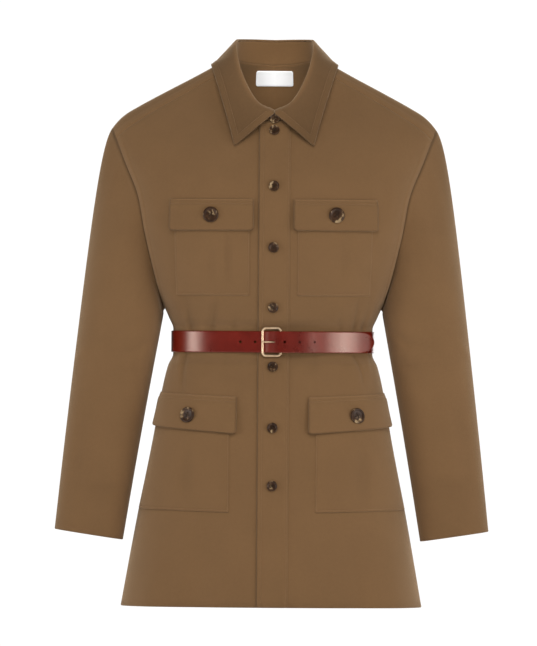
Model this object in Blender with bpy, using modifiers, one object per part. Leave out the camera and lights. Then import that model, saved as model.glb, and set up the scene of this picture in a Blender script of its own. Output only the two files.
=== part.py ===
"""Belted coat, hollow and upright as it is worn, in metres with +Z up.

The origin is the middle of the neck, level with the inner ends of the shoulders.
The front faces -Y and +X is the wearer's left.
"""

import math
from collections import namedtuple

import bpy
import numpy as np
from mathutils import Matrix, Vector

OBJECT_NAME = "belted_coat"

# Cloth and leather
CLOTH = 0.0016
COLLAR_CLOTH = 0.0018
POCKET_CLOTH = 0.0013
LABEL_CLOTH = 0.0008
BELT_LEATHER = 0.0024
SEAM_GAP = 0.0003
LAY_GAP = 0.0006

# Heights on the body
HEM = -0.783
ARMPIT = -0.360
FRONT_NECK = -0.092
BACK_NECK = -0.009
SHOULDER_INNER = 0.0015
NECK_HALF = 0.062

# How far below the shoulder ridge the body reaches its full depth
FRONT_SHOULDER_ROUND = 0.150
BACK_SHOULDER_ROUND = 0.130

# Half sections of the body, hem first: half width, depth before and behind the side seam,
# and the power of the section's outline, 2 for an ellipse and more for a squarer one
Section = namedtuple("Section", "height half_width front_depth back_depth squareness")
BODY = (
    Section(-0.783, 0.2150, 0.138, 0.138, 2.5),
    Section(-0.660, 0.1930, 0.130, 0.132, 2.6),
    Section(-0.545, 0.1705, 0.118, 0.120, 2.8),
    Section(-0.480, 0.1590, 0.104, 0.104, 2.8),
    Section(-0.440, 0.1495, 0.094, 0.091, 2.8),
    Section(-0.424, 0.1425, 0.086, 0.081, 2.7),
    Section(-0.388, 0.1425, 0.086, 0.081, 2.7),
    Section(-0.372, 0.1487, 0.094, 0.090, 2.7),
    Section(-0.320, 0.1720, 0.106, 0.100, 2.9),
    Section(-0.250, 0.1920, 0.113, 0.107, 3.0),
    Section(-0.180, 0.2080, 0.103, 0.109, 3.0),
    Section(-0.140, 0.2230, 0.089, 0.108, 3.0),
    Section(-0.092, 0.2380, 0.068, 0.104, 3.0),
    Section(-0.050, 0.2400, 0.052, 0.096, 3.0),
    Section(0.040, 0.2400, 0.040, 0.080, 3.0),
)

# Shoulder ridge, from the middle of the neck outwards
Ridge = namedtuple("Ridge", "reach height")
RIDGE = (
    Ridge(0.000, 0.0360),
    Ridge(0.062, 0.0015),
    Ridge(0.112, -0.0265),
    Ridge(0.154, -0.0487),
    Ridge(0.196, -0.0717),
    Ridge(0.214, -0.0830),
    Ridge(0.231, -0.1010),
    Ridge(0.245, -0.1290),
)

# Armhole seam seen from the front, from the armpit up to the shoulder tip
Armhole = namedtuple("Armhole", "height reach")
ARMHOLE = (
    Armhole(ARMPIT, 0.1545),
    Armhole(-0.321, 0.1665),
    Armhole(-0.250, 0.1835),
    Armhole(-0.201, 0.1925),
    Armhole(-0.149, 0.2125),
    Armhole(-0.101, 0.2310),
)
SHOULDER_SEAM = 0.94
SEAM_ANGLE = math.radians(80)

# A row of a panel: its ends as (x, z) of the front view, and how far it follows the shoulder ridge
Line = namedtuple("Line", "start end follow")

# Soft folds pressed out of the body by the belt; turn is 0 at the middle and 90 at the side
Fold = namedtuple("Fold", "face side turn width top bottom depth")
FOLDS = (
    Fold("front", -1, 40, 7, -0.424, -0.520, 0.0030),
    Fold("front", 1, 44, 7, -0.424, -0.515, 0.0028),
    Fold("front", -1, 18, 6, -0.424, -0.480, 0.0016),
    Fold("front", 1, 22, 6, -0.424, -0.485, 0.0016),
    Fold("front", -1, 30, 7, -0.330, -0.388, 0.0024),
    Fold("front", 1, 34, 7, -0.335, -0.388, 0.0022),
    Fold("front", -1, 52, 7, -0.320, -0.388, 0.0026),
    Fold("front", 1, 56, 7, -0.325, -0.388, 0.0024),
    Fold("back", 0, 16, 6, -0.270, -0.388, 0.0032),
    Fold("back", 0, 38, 7, -0.300, -0.388, 0.0028),
    Fold("back", 0, 24, 7, -0.424, -0.540, 0.0032),
    Fold("back", 0, 48, 7, -0.424, -0.520, 0.0030),
)

# Grids of the panels
LOWER_ROWS = (-0.735, -0.690, -0.645, -0.600, -0.560, -0.525, -0.496, -0.470, -0.452, -0.438,
              -0.424, -0.388, -0.376)
FRONT_COLUMNS = 12
BACK_COLUMNS = 11
COLUMN_CROWD = 1.35
FRONT_CHEST_ROWS = 8
FRONT_NECK_ROWS = 6
BACK_ROWS = (-0.325, -0.280, -0.235, -0.190, -0.150, -0.115, -0.082, -0.052, -0.028, BACK_NECK)
BACK_NECK_ANGLES = (25, 50, 72, 90)
BACK_ARMHOLE_STEPS = (0.08, 0.17, 0.26, 0.35, 0.44, 0.53, 0.61, 0.69, 0.76, 0.82, 0.88, 0.93, 0.975, 1.0)
RIDGE_STEPS = (0.990, 0.970)
FINE = 400
SHORT_ROW = 0.05

# Front opening
STAND_EDGE = 0.014
STAND_DROP = 0.0012
STAND_STEP = 0.01
PLACKET_LEFT = -0.0207
PLACKET_RIGHT = 0.0230
PLACKET_COLUMNS = 4
PLACKET_DROP = 0.0024

# Sleeve, seen from the front: rings square to its slanting axis
Ring = namedtuple("Ring", "share reach depth_at height half_width half_depth")
SLEEVE = (
    Ring(0.00, 0.2170, 0.002, -0.3700, 0.0590, 0.0600),
    Ring(0.35, 0.2330, -0.003, -0.4780, 0.0555, 0.0510),
    Ring(0.70, 0.2482, -0.013, -0.5860, 0.0522, 0.0430),
    Ring(1.00, 0.2610, -0.024, -0.6815, 0.0494, 0.0370),
)
SLEEVE_TILT = math.radians(8.6)
SLEEVE_SQUARENESS = 2.5
ARMHOLE_RUN = 0.004
UNDERARM_RUN = (0.6, 0.0, -0.8)
CAP_ROUND = 0.022
UNDERARM_ROUND = 0.003
CAP_PULL = 0.68
CAP_RINGS = 7
ARM_RINGS = 4

# Collar, half of it from the middle of the front to the middle of the back
Place = namedtuple("Place", "x y z")
FOLD_LINE = (
    Place(0.000, -0.0665, -0.0795),
    Place(0.0225, -0.0632, -0.0680),
    Place(0.0420, -0.0472, -0.0395),
    Place(0.0532, -0.0250, -0.0090),
    Place(0.0574, 0.0020, 0.0160),
    Place(0.0542, 0.0280, 0.0235),
    Place(0.0340, 0.0480, 0.0240),
    Place(0.000, 0.0550, 0.0235),
)
LEAF_EDGE = (
    Place(0.0560, -0.0880, -0.1260),
    Place(0.0635, -0.0765, -0.0970),
    Place(0.0735, -0.0580, -0.0630),
    Place(0.0840, -0.0335, -0.0290),
    Place(0.0905, -0.0030, -0.0095),
    Place(0.0840, 0.0420, -0.0110),
    Place(0.0520, 0.0740, -0.0180),
    Place(0.000, 0.0840, -0.0230),
)
LEAF_START = 0.004
LEAF_BULGE = 0.0022
LEAF_ROLL_RISE = 0.0010
LEAF_ROLL_OUT = 0.0006
LEAF_ROLL_DROP = 0.0002
LEAF_FRONT_OUT = 0.0034
LEAF_FRONT_RUN = 0.16
LEAF_STEPS = (0.25, 0.5, 0.75, 1.0)
LAP_START = 0.12
LAP_RUN = 0.26

# Pockets and flaps: distances along the cloth from the middle of the front, heights at the inner end,
# how much higher the outer end is, and how much farther out it is at the foot
Patch = namedtuple("Patch", "inner outer top bottom top_rise bottom_rise foot_out columns rows")
CHEST_POCKET = Patch(0.0335, 0.1435, -0.2190, -0.339, 0.0, 0.0, 0.0, 8, 7)
CHEST_FLAP = Patch(0.0290, 0.1490, -0.2035, -0.2470, 0.0, 0.0, 0.0, 8, 4)
HIP_POCKET = Patch(0.0610, 0.1900, -0.4990, -0.648, 0.0080, 0.0048, 0.0460, 17, 8)
HIP_FLAP = Patch(0.0515, 0.2030, -0.4855, -0.5375, 0.0070, 0.0115, 0.0, 14, 5)
FLAP_FLARE = 0.0030

# Places of the flap buttons, in shares of a flap's width and height
Spot = namedtuple("Spot", "across up")
CHEST_BUTTON = Spot(0.50, 0.50)
HIP_BUTTON = Spot(0.457, 0.43)

# Buttons, and the heights of those down the front
FRONT_BUTTON_RADIUS = 0.0075
FLAP_BUTTON_RADIUS = 0.0112
BUTTON_HEIGHT = 0.0032
BUTTON_STEPS = 12
FRONT_BUTTONS = (-0.1055, -0.1845, -0.2710, -0.3560, -0.4425, -0.5290, -0.6110)
STAND_BUTTON = -0.0872

# Belt and buckle; along is measured on the waist from the middle of the front, +X first
BELT_CENTRE = -0.406
BELT_WIDTH = 0.0306
BELT_TAIL = 0.150
BELT_TIP = 0.027
TIP_ANGLES = (25, 45, 65, 85)
TIP_POWER = 0.95
HOLE_PITCH = 0.0208
HOLE_RADIUS = 0.0019
HOLES = (-2, -1, 1, 2, 3)
PRONG_HOLE = -0.0043
PRONG_SLOT = 0.0135
PRONG_SLOT_AT = -0.0020
PRONG_SLOT_HALF = 0.0016
FRAME_LEFT = -0.0146
FRAME_RIGHT = 0.0112
FRAME_HALF_HEIGHT = 0.0197
FRAME_CORNER = 0.005
FRAME_ROD = 0.0016
PRONG_ROD = 0.0011
FOLD_BACK = 0.046
LOOP_GAP_AT = 0.0122
LOOP_GAP_WIDTH = 0.0126
LOOP_GAP_DEPTH = 0.0088
LOOP_GAP_HEIGHT = 0.0032
BAND_REACH = 0.026
BAND_EASE = 0.045
Lift = namedtuple("Lift", "along lift")
UNDER_LIFT = (
    Lift(0.0112, 0.0061),
    Lift(0.030, 0.0042),
    Lift(0.048, 0.0030),
    Lift(0.064, 0.0016),
    Lift(0.095, 0.0),
)
OVER_LIFT = (
    Lift(-0.060, 0.0),
    Lift(-0.024, 0.0001),
    Lift(FRAME_LEFT, 0.0008),
    Lift(PRONG_HOLE, 0.0046),
    Lift(FRAME_RIGHT, 0.0089),
    Lift(0.030, 0.0071),
    Lift(0.048, 0.0058),
    Lift(0.064, 0.0044),
    Lift(0.095, 0.0028),
    Lift(0.110, 0.0030),
    Lift(0.132, 0.0048),
    Lift(BELT_TAIL, 0.0082),
)

# Prong: rise above the buckle's bar, then above its rest on the frame
PRONG_BAR = (
    Lift(0.0040, 0.0016),
    Lift(-0.0010, 0.0018),
)
PRONG_REST = (
    Lift(-0.0060, -0.0012),
    Lift(-0.0100, 0.0),
    Lift(FRAME_LEFT, 0.0),
    Lift(FRAME_LEFT - 0.0016, -0.0002),
)

# Label inside the neck
LABEL_WIDTH = 0.056
LABEL_GAP = 0.0006
LABEL_TOP = -0.0162
LABEL_BOTTOM = -0.0378

# Finishes: colour in linear light, roughness, metal
Finish = namedtuple("Finish", "colour roughness metallic")
FINISHES = {
    "cloth": Finish((0.200, 0.112, 0.052, 1.0), 0.85, 0.0),
    "button": Finish((0.030, 0.020, 0.016, 1.0), 0.30, 0.0),
    "leather": Finish((0.175, 0.022, 0.014, 1.0), 0.28, 0.0),
    "brass": Finish((0.560, 0.330, 0.170, 1.0), 0.25, 1.0),
    "label": Finish((0.880, 0.880, 0.860, 1.0), 0.80, 0.0),
}


def smooth(knots, values, at):
    """Fair curve through a table's rows that never swings past them."""
    knots = np.asarray(knots, dtype=float)
    values = np.asarray(values, dtype=float)
    step = np.diff(knots)
    slope = np.diff(values) / step
    tangent = np.zeros_like(values)
    tangent[0], tangent[-1] = slope[0], slope[-1]
    before, after = slope[:-1], slope[1:]
    same_way = before * after > 0
    tangent[1:-1][same_way] = (2 * before * after)[same_way] / (before + after)[same_way]
    at = np.clip(np.asarray(at, dtype=float), knots[0], knots[-1])
    cell = np.clip(np.searchsorted(knots, at) - 1, 0, len(step) - 1)
    t = (at - knots[cell]) / step[cell]
    start = values[cell] * (1 + 2 * t) * (1 - t) ** 2 + tangent[cell] * step[cell] * t * (1 - t) ** 2
    end = values[cell + 1] * t * t * (3 - 2 * t) - tangent[cell + 1] * step[cell] * t * t * (1 - t)
    return start + end


def ease(value):
    """Soft step from 0 to 1."""
    value = np.clip(value, 0.0, 1.0)
    return value * value * (3 - 2 * value)


def lengths(points):
    """Distance along a row of points, from its first one."""
    return np.concatenate(([0.0], np.cumsum(np.linalg.norm(np.diff(points, axis=0), axis=1))))


def along(points, distances):
    """Points at given distances along a row of points."""
    run = lengths(points)
    return np.stack([np.interp(distances, run, column) for column in points.T], axis=1)


def spline(places, shares):
    """Points at shares of the length of a smooth curve through places."""
    knots = np.array(places)
    fine = np.linspace(0, 1, FINE)
    chord = lengths(knots) / lengths(knots)[-1]
    dense = np.stack([smooth(chord, column, fine) for column in knots.T], axis=1)
    return along(dense, np.asarray(shares) * lengths(dense)[-1])


def ridge_height(x):
    """Height of the shoulder ridge at a distance from the middle."""
    return smooth([r.reach for r in RIDGE], [r.height for r in RIDGE], np.abs(x))


def body_row(face, start, end, follow=0.0):
    """Fine points on the body from start to end, given as (x, z) of the front view.

    Follow is 0 for a row that leaves the middle level and 1 for one that keeps to the shoulder ridge.
    """
    sweep = np.sin(np.linspace(0, math.pi / 2, FINE))
    x = start[0] + (end[0] - start[0]) * sweep
    level = start[1] + (end[1] - start[1]) * sweep ** 2
    below = ridge_height(start[0]) - start[1]
    below = below + (ridge_height(end[0]) - end[1] - below) * sweep
    z = level + (ridge_height(x) - below - level) * follow
    heights = [s.height for s in BODY]
    depths = [s.front_depth if face == "front" else s.back_depth for s in BODY]
    half_width = smooth(heights, [s.half_width for s in BODY], z)
    depth = smooth(heights, depths, z)
    power = smooth(heights, [s.squareness for s in BODY], z)
    across = np.clip(np.abs(x) / half_width, 0, 1)
    swell = (1 - across ** power) ** (1 / power)
    rounding = FRONT_SHOULDER_ROUND if face == "front" else BACK_SHOULDER_ROUND
    drop = np.clip((ridge_height(x) - z) / rounding, 0, 1)
    crest = np.sqrt(1 - (1 - drop) ** 2)
    sign = -1.0 if face == "front" else 1.0
    y = sign * depth * swell * crest
    turn = np.degrees(np.arctan2(across, np.maximum(swell, 1e-9)))
    push = np.zeros_like(x)
    for fold in FOLDS:
        if fold.face != face:
            continue
        here = np.where(np.sign(x) == -fold.side, 0.0, 1.0) if fold.side else 1.0
        share = np.clip((fold.top - z) / (fold.top - fold.bottom), 0, 1)
        run = np.sin(math.pi * share) ** 1.5
        push += here * fold.depth * run * np.exp(-((turn - fold.turn) / fold.width) ** 2)
    normal_x = np.sign(x) * across ** (power - 1) / half_width
    normal_y = sign * swell ** (power - 1) / depth
    size = np.hypot(normal_x, normal_y)
    return np.stack([x + push * normal_x / size, y + push * normal_y / size, z], axis=1)


def half_width_at(height):
    """Half the width of the body at a height."""
    return float(smooth([s.height for s in BODY], [s.half_width for s in BODY], height))


def neckline(face, x):
    """Height of the neck seam at a distance from the middle."""
    low = FRONT_NECK if face == "front" else BACK_NECK
    level = STAND_EDGE if face == "front" else 0.0
    share = np.clip(np.maximum(np.abs(x), level) / NECK_HALF, 0, 1)
    return SHOULDER_INNER - (SHOULDER_INNER - low) * np.sqrt(1 - share ** 2)


def armhole_path():
    """Armhole seam in the front view from the armpit to the shoulder tip."""
    z = np.linspace(ARMHOLE[0].height, ARMHOLE[-1].height, FINE)
    x = smooth([a.height for a in ARMHOLE], [a.reach for a in ARMHOLE], z)
    return np.stack([x, z], axis=1)


def armhole_point(share):
    """Point of the armhole seam in the front view, share 0 at the armpit and 1 at the tip."""
    path = armhole_path()
    return along(path, [share * lengths(path)[-1]])[0]


def lower_lines(inner):
    """Rows below the armpit, from a distance to the side seam."""
    heights = (HEM,) + LOWER_ROWS + (ARMPIT,)
    return [Line((inner, z), (half_width_at(z), z), 0.0) for z in heights]


def chest_heights(inner):
    """Heights at which the rows of a front panel leave its front edge, up to the neck seam."""
    return np.linspace(ARMPIT, neckline("front", inner), FRONT_CHEST_ROWS + 1)[1:]


def neck_point(face, angle):
    """Point of the neck seam in the front view, angle 0 in the middle and 90 degrees at the ridge."""
    x = NECK_HALF * math.sin(angle)
    return x, float(neckline(face, x))


def front_lines(inner):
    """Rows of a front panel above the armpit, up to the shoulder seam.

    A front that runs under the band has one more row, for the level top of its button stand.
    """
    first = math.asin(STAND_EDGE / NECK_HALF)
    angles = np.linspace(first, SEAM_ANGLE, FRONT_NECK_ROWS + 1)
    steps = list(np.linspace(0, SHOULDER_SEAM, FRONT_CHEST_ROWS + FRONT_NECK_ROWS + 1)[1:])
    starts = [(inner, z) for z in chest_heights(inner)]
    if inner < 0:
        starts[-1] = (inner, starts[-1][1] - STAND_DROP)
        starts.append(neck_point("front", first))
        steps.insert(FRONT_CHEST_ROWS - 1, steps[FRONT_CHEST_ROWS - 1] - STAND_STEP)
    starts += [neck_point("front", angle) for angle in angles[1:]]
    return [Line(start, armhole_point(step), step ** 2) for start, step in zip(starts, steps)]


def back_lines():
    """Rows of the back above the armpit, up to the shoulder ridge."""
    starts = [(0.0, z) for z in BACK_ROWS]
    starts += [neck_point("back", math.radians(angle)) for angle in BACK_NECK_ANGLES]
    return [Line(start, armhole_point(step), step ** 2)
            for start, step in zip(starts, BACK_ARMHOLE_STEPS)]


def ridge_lines():
    """Rows of the back that come over the ridge and down to the forward shoulder seam."""
    seam = SHOULDER_SEAM + SEAM_GAP / lengths(armhole_path())[-1]
    lines = []
    for step in RIDGE_STEPS + (seam,):
        share = (1 - step) / (1 - SHOULDER_SEAM)
        angle = math.pi / 2 - share * (math.pi / 2 - SEAM_ANGLE)
        lines.append(Line(neck_point("front", angle), armhole_point(step), step ** 2))
    return lines


def panel_grid(face, lines, columns, inner_trim, outer_trim):
    """Points of each row, closer together near the side and held clear of the seams at both ends."""
    grid = []
    for line in lines:
        row = body_row(face, *line)
        total = lengths(row)[-1]
        share = 1 - (1 - np.linspace(0, 1, columns)) ** COLUMN_CROWD
        grid.append(along(row, inner_trim + share * (total - inner_trim - outer_trim)))
    return np.array(grid)


def grid_normals(grid, inside):
    """Unit normals of a grid of points, pointing away from the given inside points."""
    across = np.gradient(grid, axis=1)
    up = np.gradient(grid, axis=0)
    normal = np.cross(across, up)
    normal /= np.maximum(np.linalg.norm(normal, axis=2, keepdims=True), 1e-12)
    facing = np.sum(normal * (grid - inside))
    return normal if facing > 0 else -normal


def body_axis(grid):
    """Inside points of the body, on the middle line at each point's height."""
    return grid * np.array([0.0, 0.0, 1.0])


def mirrored(grid, side):
    """The grid on the wearer's left for side 1, or its mirror image for side -1."""
    return grid * np.array([side, 1.0, 1.0])


def front_patch(patch, side):
    """Grid on a front panel inside a patch's outline, rows from its bottom up."""
    share = np.linspace(0, 1, patch.columns)
    low = patch.bottom + patch.bottom_rise * share
    high = patch.top + patch.top_rise * share
    grid = []
    for up in np.linspace(0, 1, patch.rows):
        width = patch.outer - patch.inner + patch.foot_out * (1 - up)
        points = []
        for place, z in zip(patch.inner + width * share, low + (high - low) * up):
            row = body_row("front", (0.0, z), (side * half_width_at(z), z))
            points.append(along(row, [place])[0])
        grid.append(points)
    return np.array(grid)


def clear_parts():
    """Empty the scene."""
    for thing in list(bpy.data.objects):
        bpy.data.objects.remove(thing, do_unlink=True)


def make_finish(name):
    """Plain material for one of the finishes."""
    finish = FINISHES[name]
    material = bpy.data.materials.new(name)
    material.use_nodes = True
    shader = material.node_tree.nodes["Principled BSDF"]
    shader.inputs["Base Color"].default_value = finish.colour
    shader.inputs["Roughness"].default_value = finish.roughness
    shader.inputs["Metallic"].default_value = finish.metallic
    return material


class Kit:
    """The object's collection and materials, and the ways its pieces are made."""

    def __init__(self):
        self.parts = bpy.data.collections.new(OBJECT_NAME)
        self.cutters = bpy.data.collections.new("belt_cutters")
        for collection in (self.parts, self.cutters):
            bpy.context.scene.collection.children.link(collection)

    def add(self, name, data, finish):
        """New piece with its own material."""
        piece = bpy.data.objects.new(name, data)
        self.parts.objects.link(piece)
        material = make_finish(finish)
        material.name = f"{name}_{finish}"
        data.materials.append(material)
        return piece

    def shell(self, name, grid, thickness, inside, finish="cloth", wrap=False, centred=False):
        """Sheet through a grid of points, thickened away from its outer face."""
        rows, columns = grid.shape[:2]
        last = columns if wrap else columns - 1
        faces = []
        for r in range(rows - 1):
            for c in range(last):
                right = (c + 1) % columns
                faces.append((r * columns + c, r * columns + right,
                              (r + 1) * columns + right, (r + 1) * columns + c))
        across = np.roll(grid, -1, axis=1)[:-1, :last] - grid[:-1, :last]
        up = grid[1:, :last] - grid[:-1, :last]
        facing = np.sum(np.cross(across, up) * (grid[:-1, :last] - inside[:-1, :last]))
        if facing < 0:
            faces = [face[::-1] for face in faces]
        mesh = bpy.data.meshes.new(name)
        mesh.from_pydata(grid.reshape(-1, 3).tolist(), [], faces)
        mesh.shade_smooth()
        piece = self.add(name, mesh, finish)
        wall = piece.modifiers.new("wall", "SOLIDIFY")
        wall.thickness = thickness
        wall.offset = 0.0 if centred else -1.0
        wall.use_even_offset = True
        return piece

    def rod(self, name, points, radius, finish, cyclic=False):
        """Round rod along a line of points."""
        curve = bpy.data.curves.new(name, "CURVE")
        curve.dimensions = "3D"
        curve.bevel_depth = radius
        curve.bevel_resolution = 2
        curve.use_fill_caps = True
        line = curve.splines.new("POLY")
        line.points.add(len(points) - 1)
        for knot, point in zip(line.points, points):
            knot.co = (*point, 1.0)
        line.use_cyclic_u = cyclic
        return self.add(name, curve, finish)

    def button(self, name, seat, normal, radius):
        """Turned button with a raised rim, its back at the seat."""
        profile = (
            (0.0, BUTTON_HEIGHT * 0.62),
            (radius * 0.68, BUTTON_HEIGHT * 0.62),
            (radius * 0.84, BUTTON_HEIGHT),
            (radius, BUTTON_HEIGHT * 0.55),
            (radius * 0.86, 0.0),
            (0.0, 0.0),
        )
        mesh = bpy.data.meshes.new(name)
        edges = [(i, i + 1) for i in range(len(profile) - 1)]
        mesh.from_pydata([(r, 0.0, h) for r, h in profile], edges, [])
        piece = self.add(name, mesh, "button")
        turning = piece.modifiers.new("turning", "SCREW")
        turning.axis = "Z"
        turning.steps = BUTTON_STEPS
        turning.render_steps = BUTTON_STEPS
        turning.use_merge_vertices = True
        turning.merge_threshold = 0.00001
        turning.use_normal_calculate = True
        turning.use_smooth_shade = True
        piece.rotation_mode = "QUATERNION"
        piece.rotation_quaternion = Vector((0, 0, 1)).rotation_difference(Vector(normal))
        piece.location = seat
        return piece


def build_body(kit):
    """Back, both fronts and the buttonhole band."""
    half_gap = SEAM_GAP / 2
    back = panel_grid("back", lower_lines(0.0) + back_lines(), BACK_COLUMNS, 0.0, half_gap)
    over = panel_grid("front", ridge_lines(), BACK_COLUMNS, 0.0, half_gap)
    back = np.concatenate([back, over])
    piece = kit.shell("back", back, CLOTH, body_axis(back))
    mirror = piece.modifiers.new("halves", "MIRROR")
    mirror.merge_threshold = 0.0001
    piece.modifiers.move(1, 0)
    for name, side, inner in (("front_right", -1, -STAND_EDGE), ("front_left", 1, STAND_EDGE)):
        lines = lower_lines(inner) + front_lines(inner)
        if side < 0:
            lines = [Line((-a[0], a[1]), (-b[0], b[1]), follow) for a, b, follow in lines]
        grid = panel_grid("front", lines, FRONT_COLUMNS, half_gap, half_gap)
        kit.shell(name, grid, CLOTH, body_axis(grid))
    grid = placket_grid()
    normal = grid_normals(grid, body_axis(grid))
    outer = grid + normal * (LAY_GAP + CLOTH)
    kit.shell("placket", outer, CLOTH, body_axis(outer))


def placket_grid():
    """Points on the fronts under the buttonhole band, from the hem up to the neck seam."""
    heights = np.array([line.start[1] for line in lower_lines(0.0)] + list(chest_heights(STAND_EDGE)))
    grid = []
    for x in np.linspace(PLACKET_LEFT, PLACKET_RIGHT, PLACKET_COLUMNS):
        heights[-1] = neckline("front", x) - PLACKET_DROP
        column = []
        for z in heights:
            row = body_row("front", (0.0, z), (math.copysign(SHORT_ROW, x), z))
            column.append([x, np.interp(abs(x), np.abs(row[:, 0]), row[:, 1]), z])
        grid.append(column)
    return np.array(grid).transpose(1, 0, 2)


def armhole_loop():
    """Armhole seam from the armpit up the front, over the tip and down the back.

    Gives the points and the direction in which the panel runs out at each of them.
    """
    points, runs = [], []
    stops = [("front", line) for line in lower_lines(STAND_EDGE)[-1:] + front_lines(STAND_EDGE)]
    stops += [("front", line) for line in reversed(ridge_lines()[:-1])]
    stops += [("back", line) for line in reversed(back_lines())]
    for face, line in stops:
        row = body_row(face, *line)
        run = row[-1] - along(row, [lengths(row)[-1] - ARMHOLE_RUN])[0]
        run /= np.linalg.norm(run)
        points.append(row[-1] + run * SEAM_GAP * (0.5 + line.follow))
        runs.append(run)
    runs[0] = np.array(UNDERARM_RUN)
    points[0] = points[0] + runs[0] * SEAM_GAP
    return np.array(points), np.array(runs)


def sleeve_ring(share, angles):
    """Ring of the arm tube at a share of its length; angle 0 is outermost, then to the back."""
    shares = [r.share for r in SLEEVE]
    reach, depth_at, height, half_width, half_depth = (
        smooth(shares, [getattr(r, name) for r in SLEEVE], share)
        for name in ("reach", "depth_at", "height", "half_width", "half_depth"))
    across, deep = (np.sign(wave) * np.abs(wave) ** (2 / SLEEVE_SQUARENESS)
                    for wave in (np.cos(angles), np.sin(angles)))
    out = across * half_width
    x = reach + out * math.cos(SLEEVE_TILT)
    z = height + out * math.sin(SLEEVE_TILT)
    y = depth_at + deep * half_depth
    return np.stack([x, y, z], axis=1)


def sleeve_grid():
    """Rings of the left sleeve from the armhole to the wrist."""
    start, runs = armhole_loop()
    closed = np.vstack([start, start[:1]])
    run = lengths(closed)
    tip = int(np.argmax(start[:, 2]))
    angles = np.where(
        np.arange(len(start)) <= tip,
        -math.pi * (1 - run[:-1] / run[tip]),
        math.pi * (run[:-1] - run[tip]) / (run[-1] - run[tip]))
    upper = sleeve_ring(0.0, angles)
    below = sleeve_ring(0.2, angles)
    line = upper - below
    line /= np.linalg.norm(line, axis=1, keepdims=True)
    reach = np.linalg.norm(upper - start, axis=1, keepdims=True)
    blend = ((1 + np.cos(angles)) / 2)[:, None]
    first = start + runs * (UNDERARM_ROUND + (CAP_ROUND - UNDERARM_ROUND) * blend ** 1.5)
    second = upper + line * reach * CAP_PULL
    rings = []
    for t in np.linspace(0, 1, CAP_RINGS + 1) ** 1.3:
        rings.append(start * (1 - t) ** 3 + first * 3 * t * (1 - t) ** 2
                     + second * 3 * t * t * (1 - t) + upper * t ** 3)
    for share in np.linspace(0, 1, ARM_RINGS + 1)[1:]:
        rings.append(sleeve_ring(share, angles))
    return np.array(rings)


def build_sleeves(kit):
    """Both sleeves."""
    grid = sleeve_grid()
    for name, side in (("sleeve_left", 1), ("sleeve_right", -1)):
        placed = mirrored(grid, side)
        middle = np.repeat(placed.mean(axis=1, keepdims=True), placed.shape[1], axis=1)
        kit.shell(name, placed, CLOTH, middle, wrap=True)


def neck_half(inner):
    """Corners of half the neck seam on the panels' edges, from a front edge to the middle of the back."""
    starts = [("front", line.start) for line in front_lines(inner)[FRONT_CHEST_ROWS - 1:]]
    starts += [("front", line.start) for line in reversed(ridge_lines()[:-1])]
    starts += [("back", line.start) for line in reversed(back_lines()[len(BACK_ROWS) - 1:])]
    return np.array([body_row(face, (x, z), (x + SHORT_ROW, z))[0] for face, (x, z) in starts])


def neck_loop():
    """Corners of the neck seam, from the right front's edge round the back to the band's free edge."""
    right = mirrored(neck_half(-STAND_EDGE), -1)
    right = np.insert(right, 1, (right[0] + right[1]) / 2, axis=0)
    left = neck_half(STAND_EDGE)[::-1][1:]
    lap = []
    for x in (0.0, PLACKET_LEFT / 2, PLACKET_LEFT):
        z = float(neckline("front", x))
        corner = body_row("front", (abs(x), z), (abs(x) + SHORT_ROW, z))[0]
        lap.append(mirrored(corner, math.copysign(1, x)))
    loop = np.concatenate([right, left, np.array(lap)])
    run = lengths(loop)
    middle = run[len(right) - 1]
    half = middle - np.interp(0.0, -loop[:4, 0], run[:4])
    return loop, 1 + (run - middle) / half


def round_neck(places, stations):
    """Points of a half curve carried round the neck: 0 to 1 the right half, 1 to 2 the left half.

    Stations below 0 and above 2 run past the middle of the front.
    """
    share = np.abs(np.where(stations <= 1, stations, 2 - stations))
    points = spline(places, share)
    left = (stations < 0) | ((stations > 1) & (stations <= 2))
    points[:, 0] *= np.where(left, 1.0, -1.0)
    return points


def lap_lift(share):
    """How far a lapped end stands out, at a share of the way from the front to the back."""
    return (COLLAR_CLOTH + LAY_GAP) * (1 - ease((share - LAP_START) / LAP_RUN))


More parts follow.
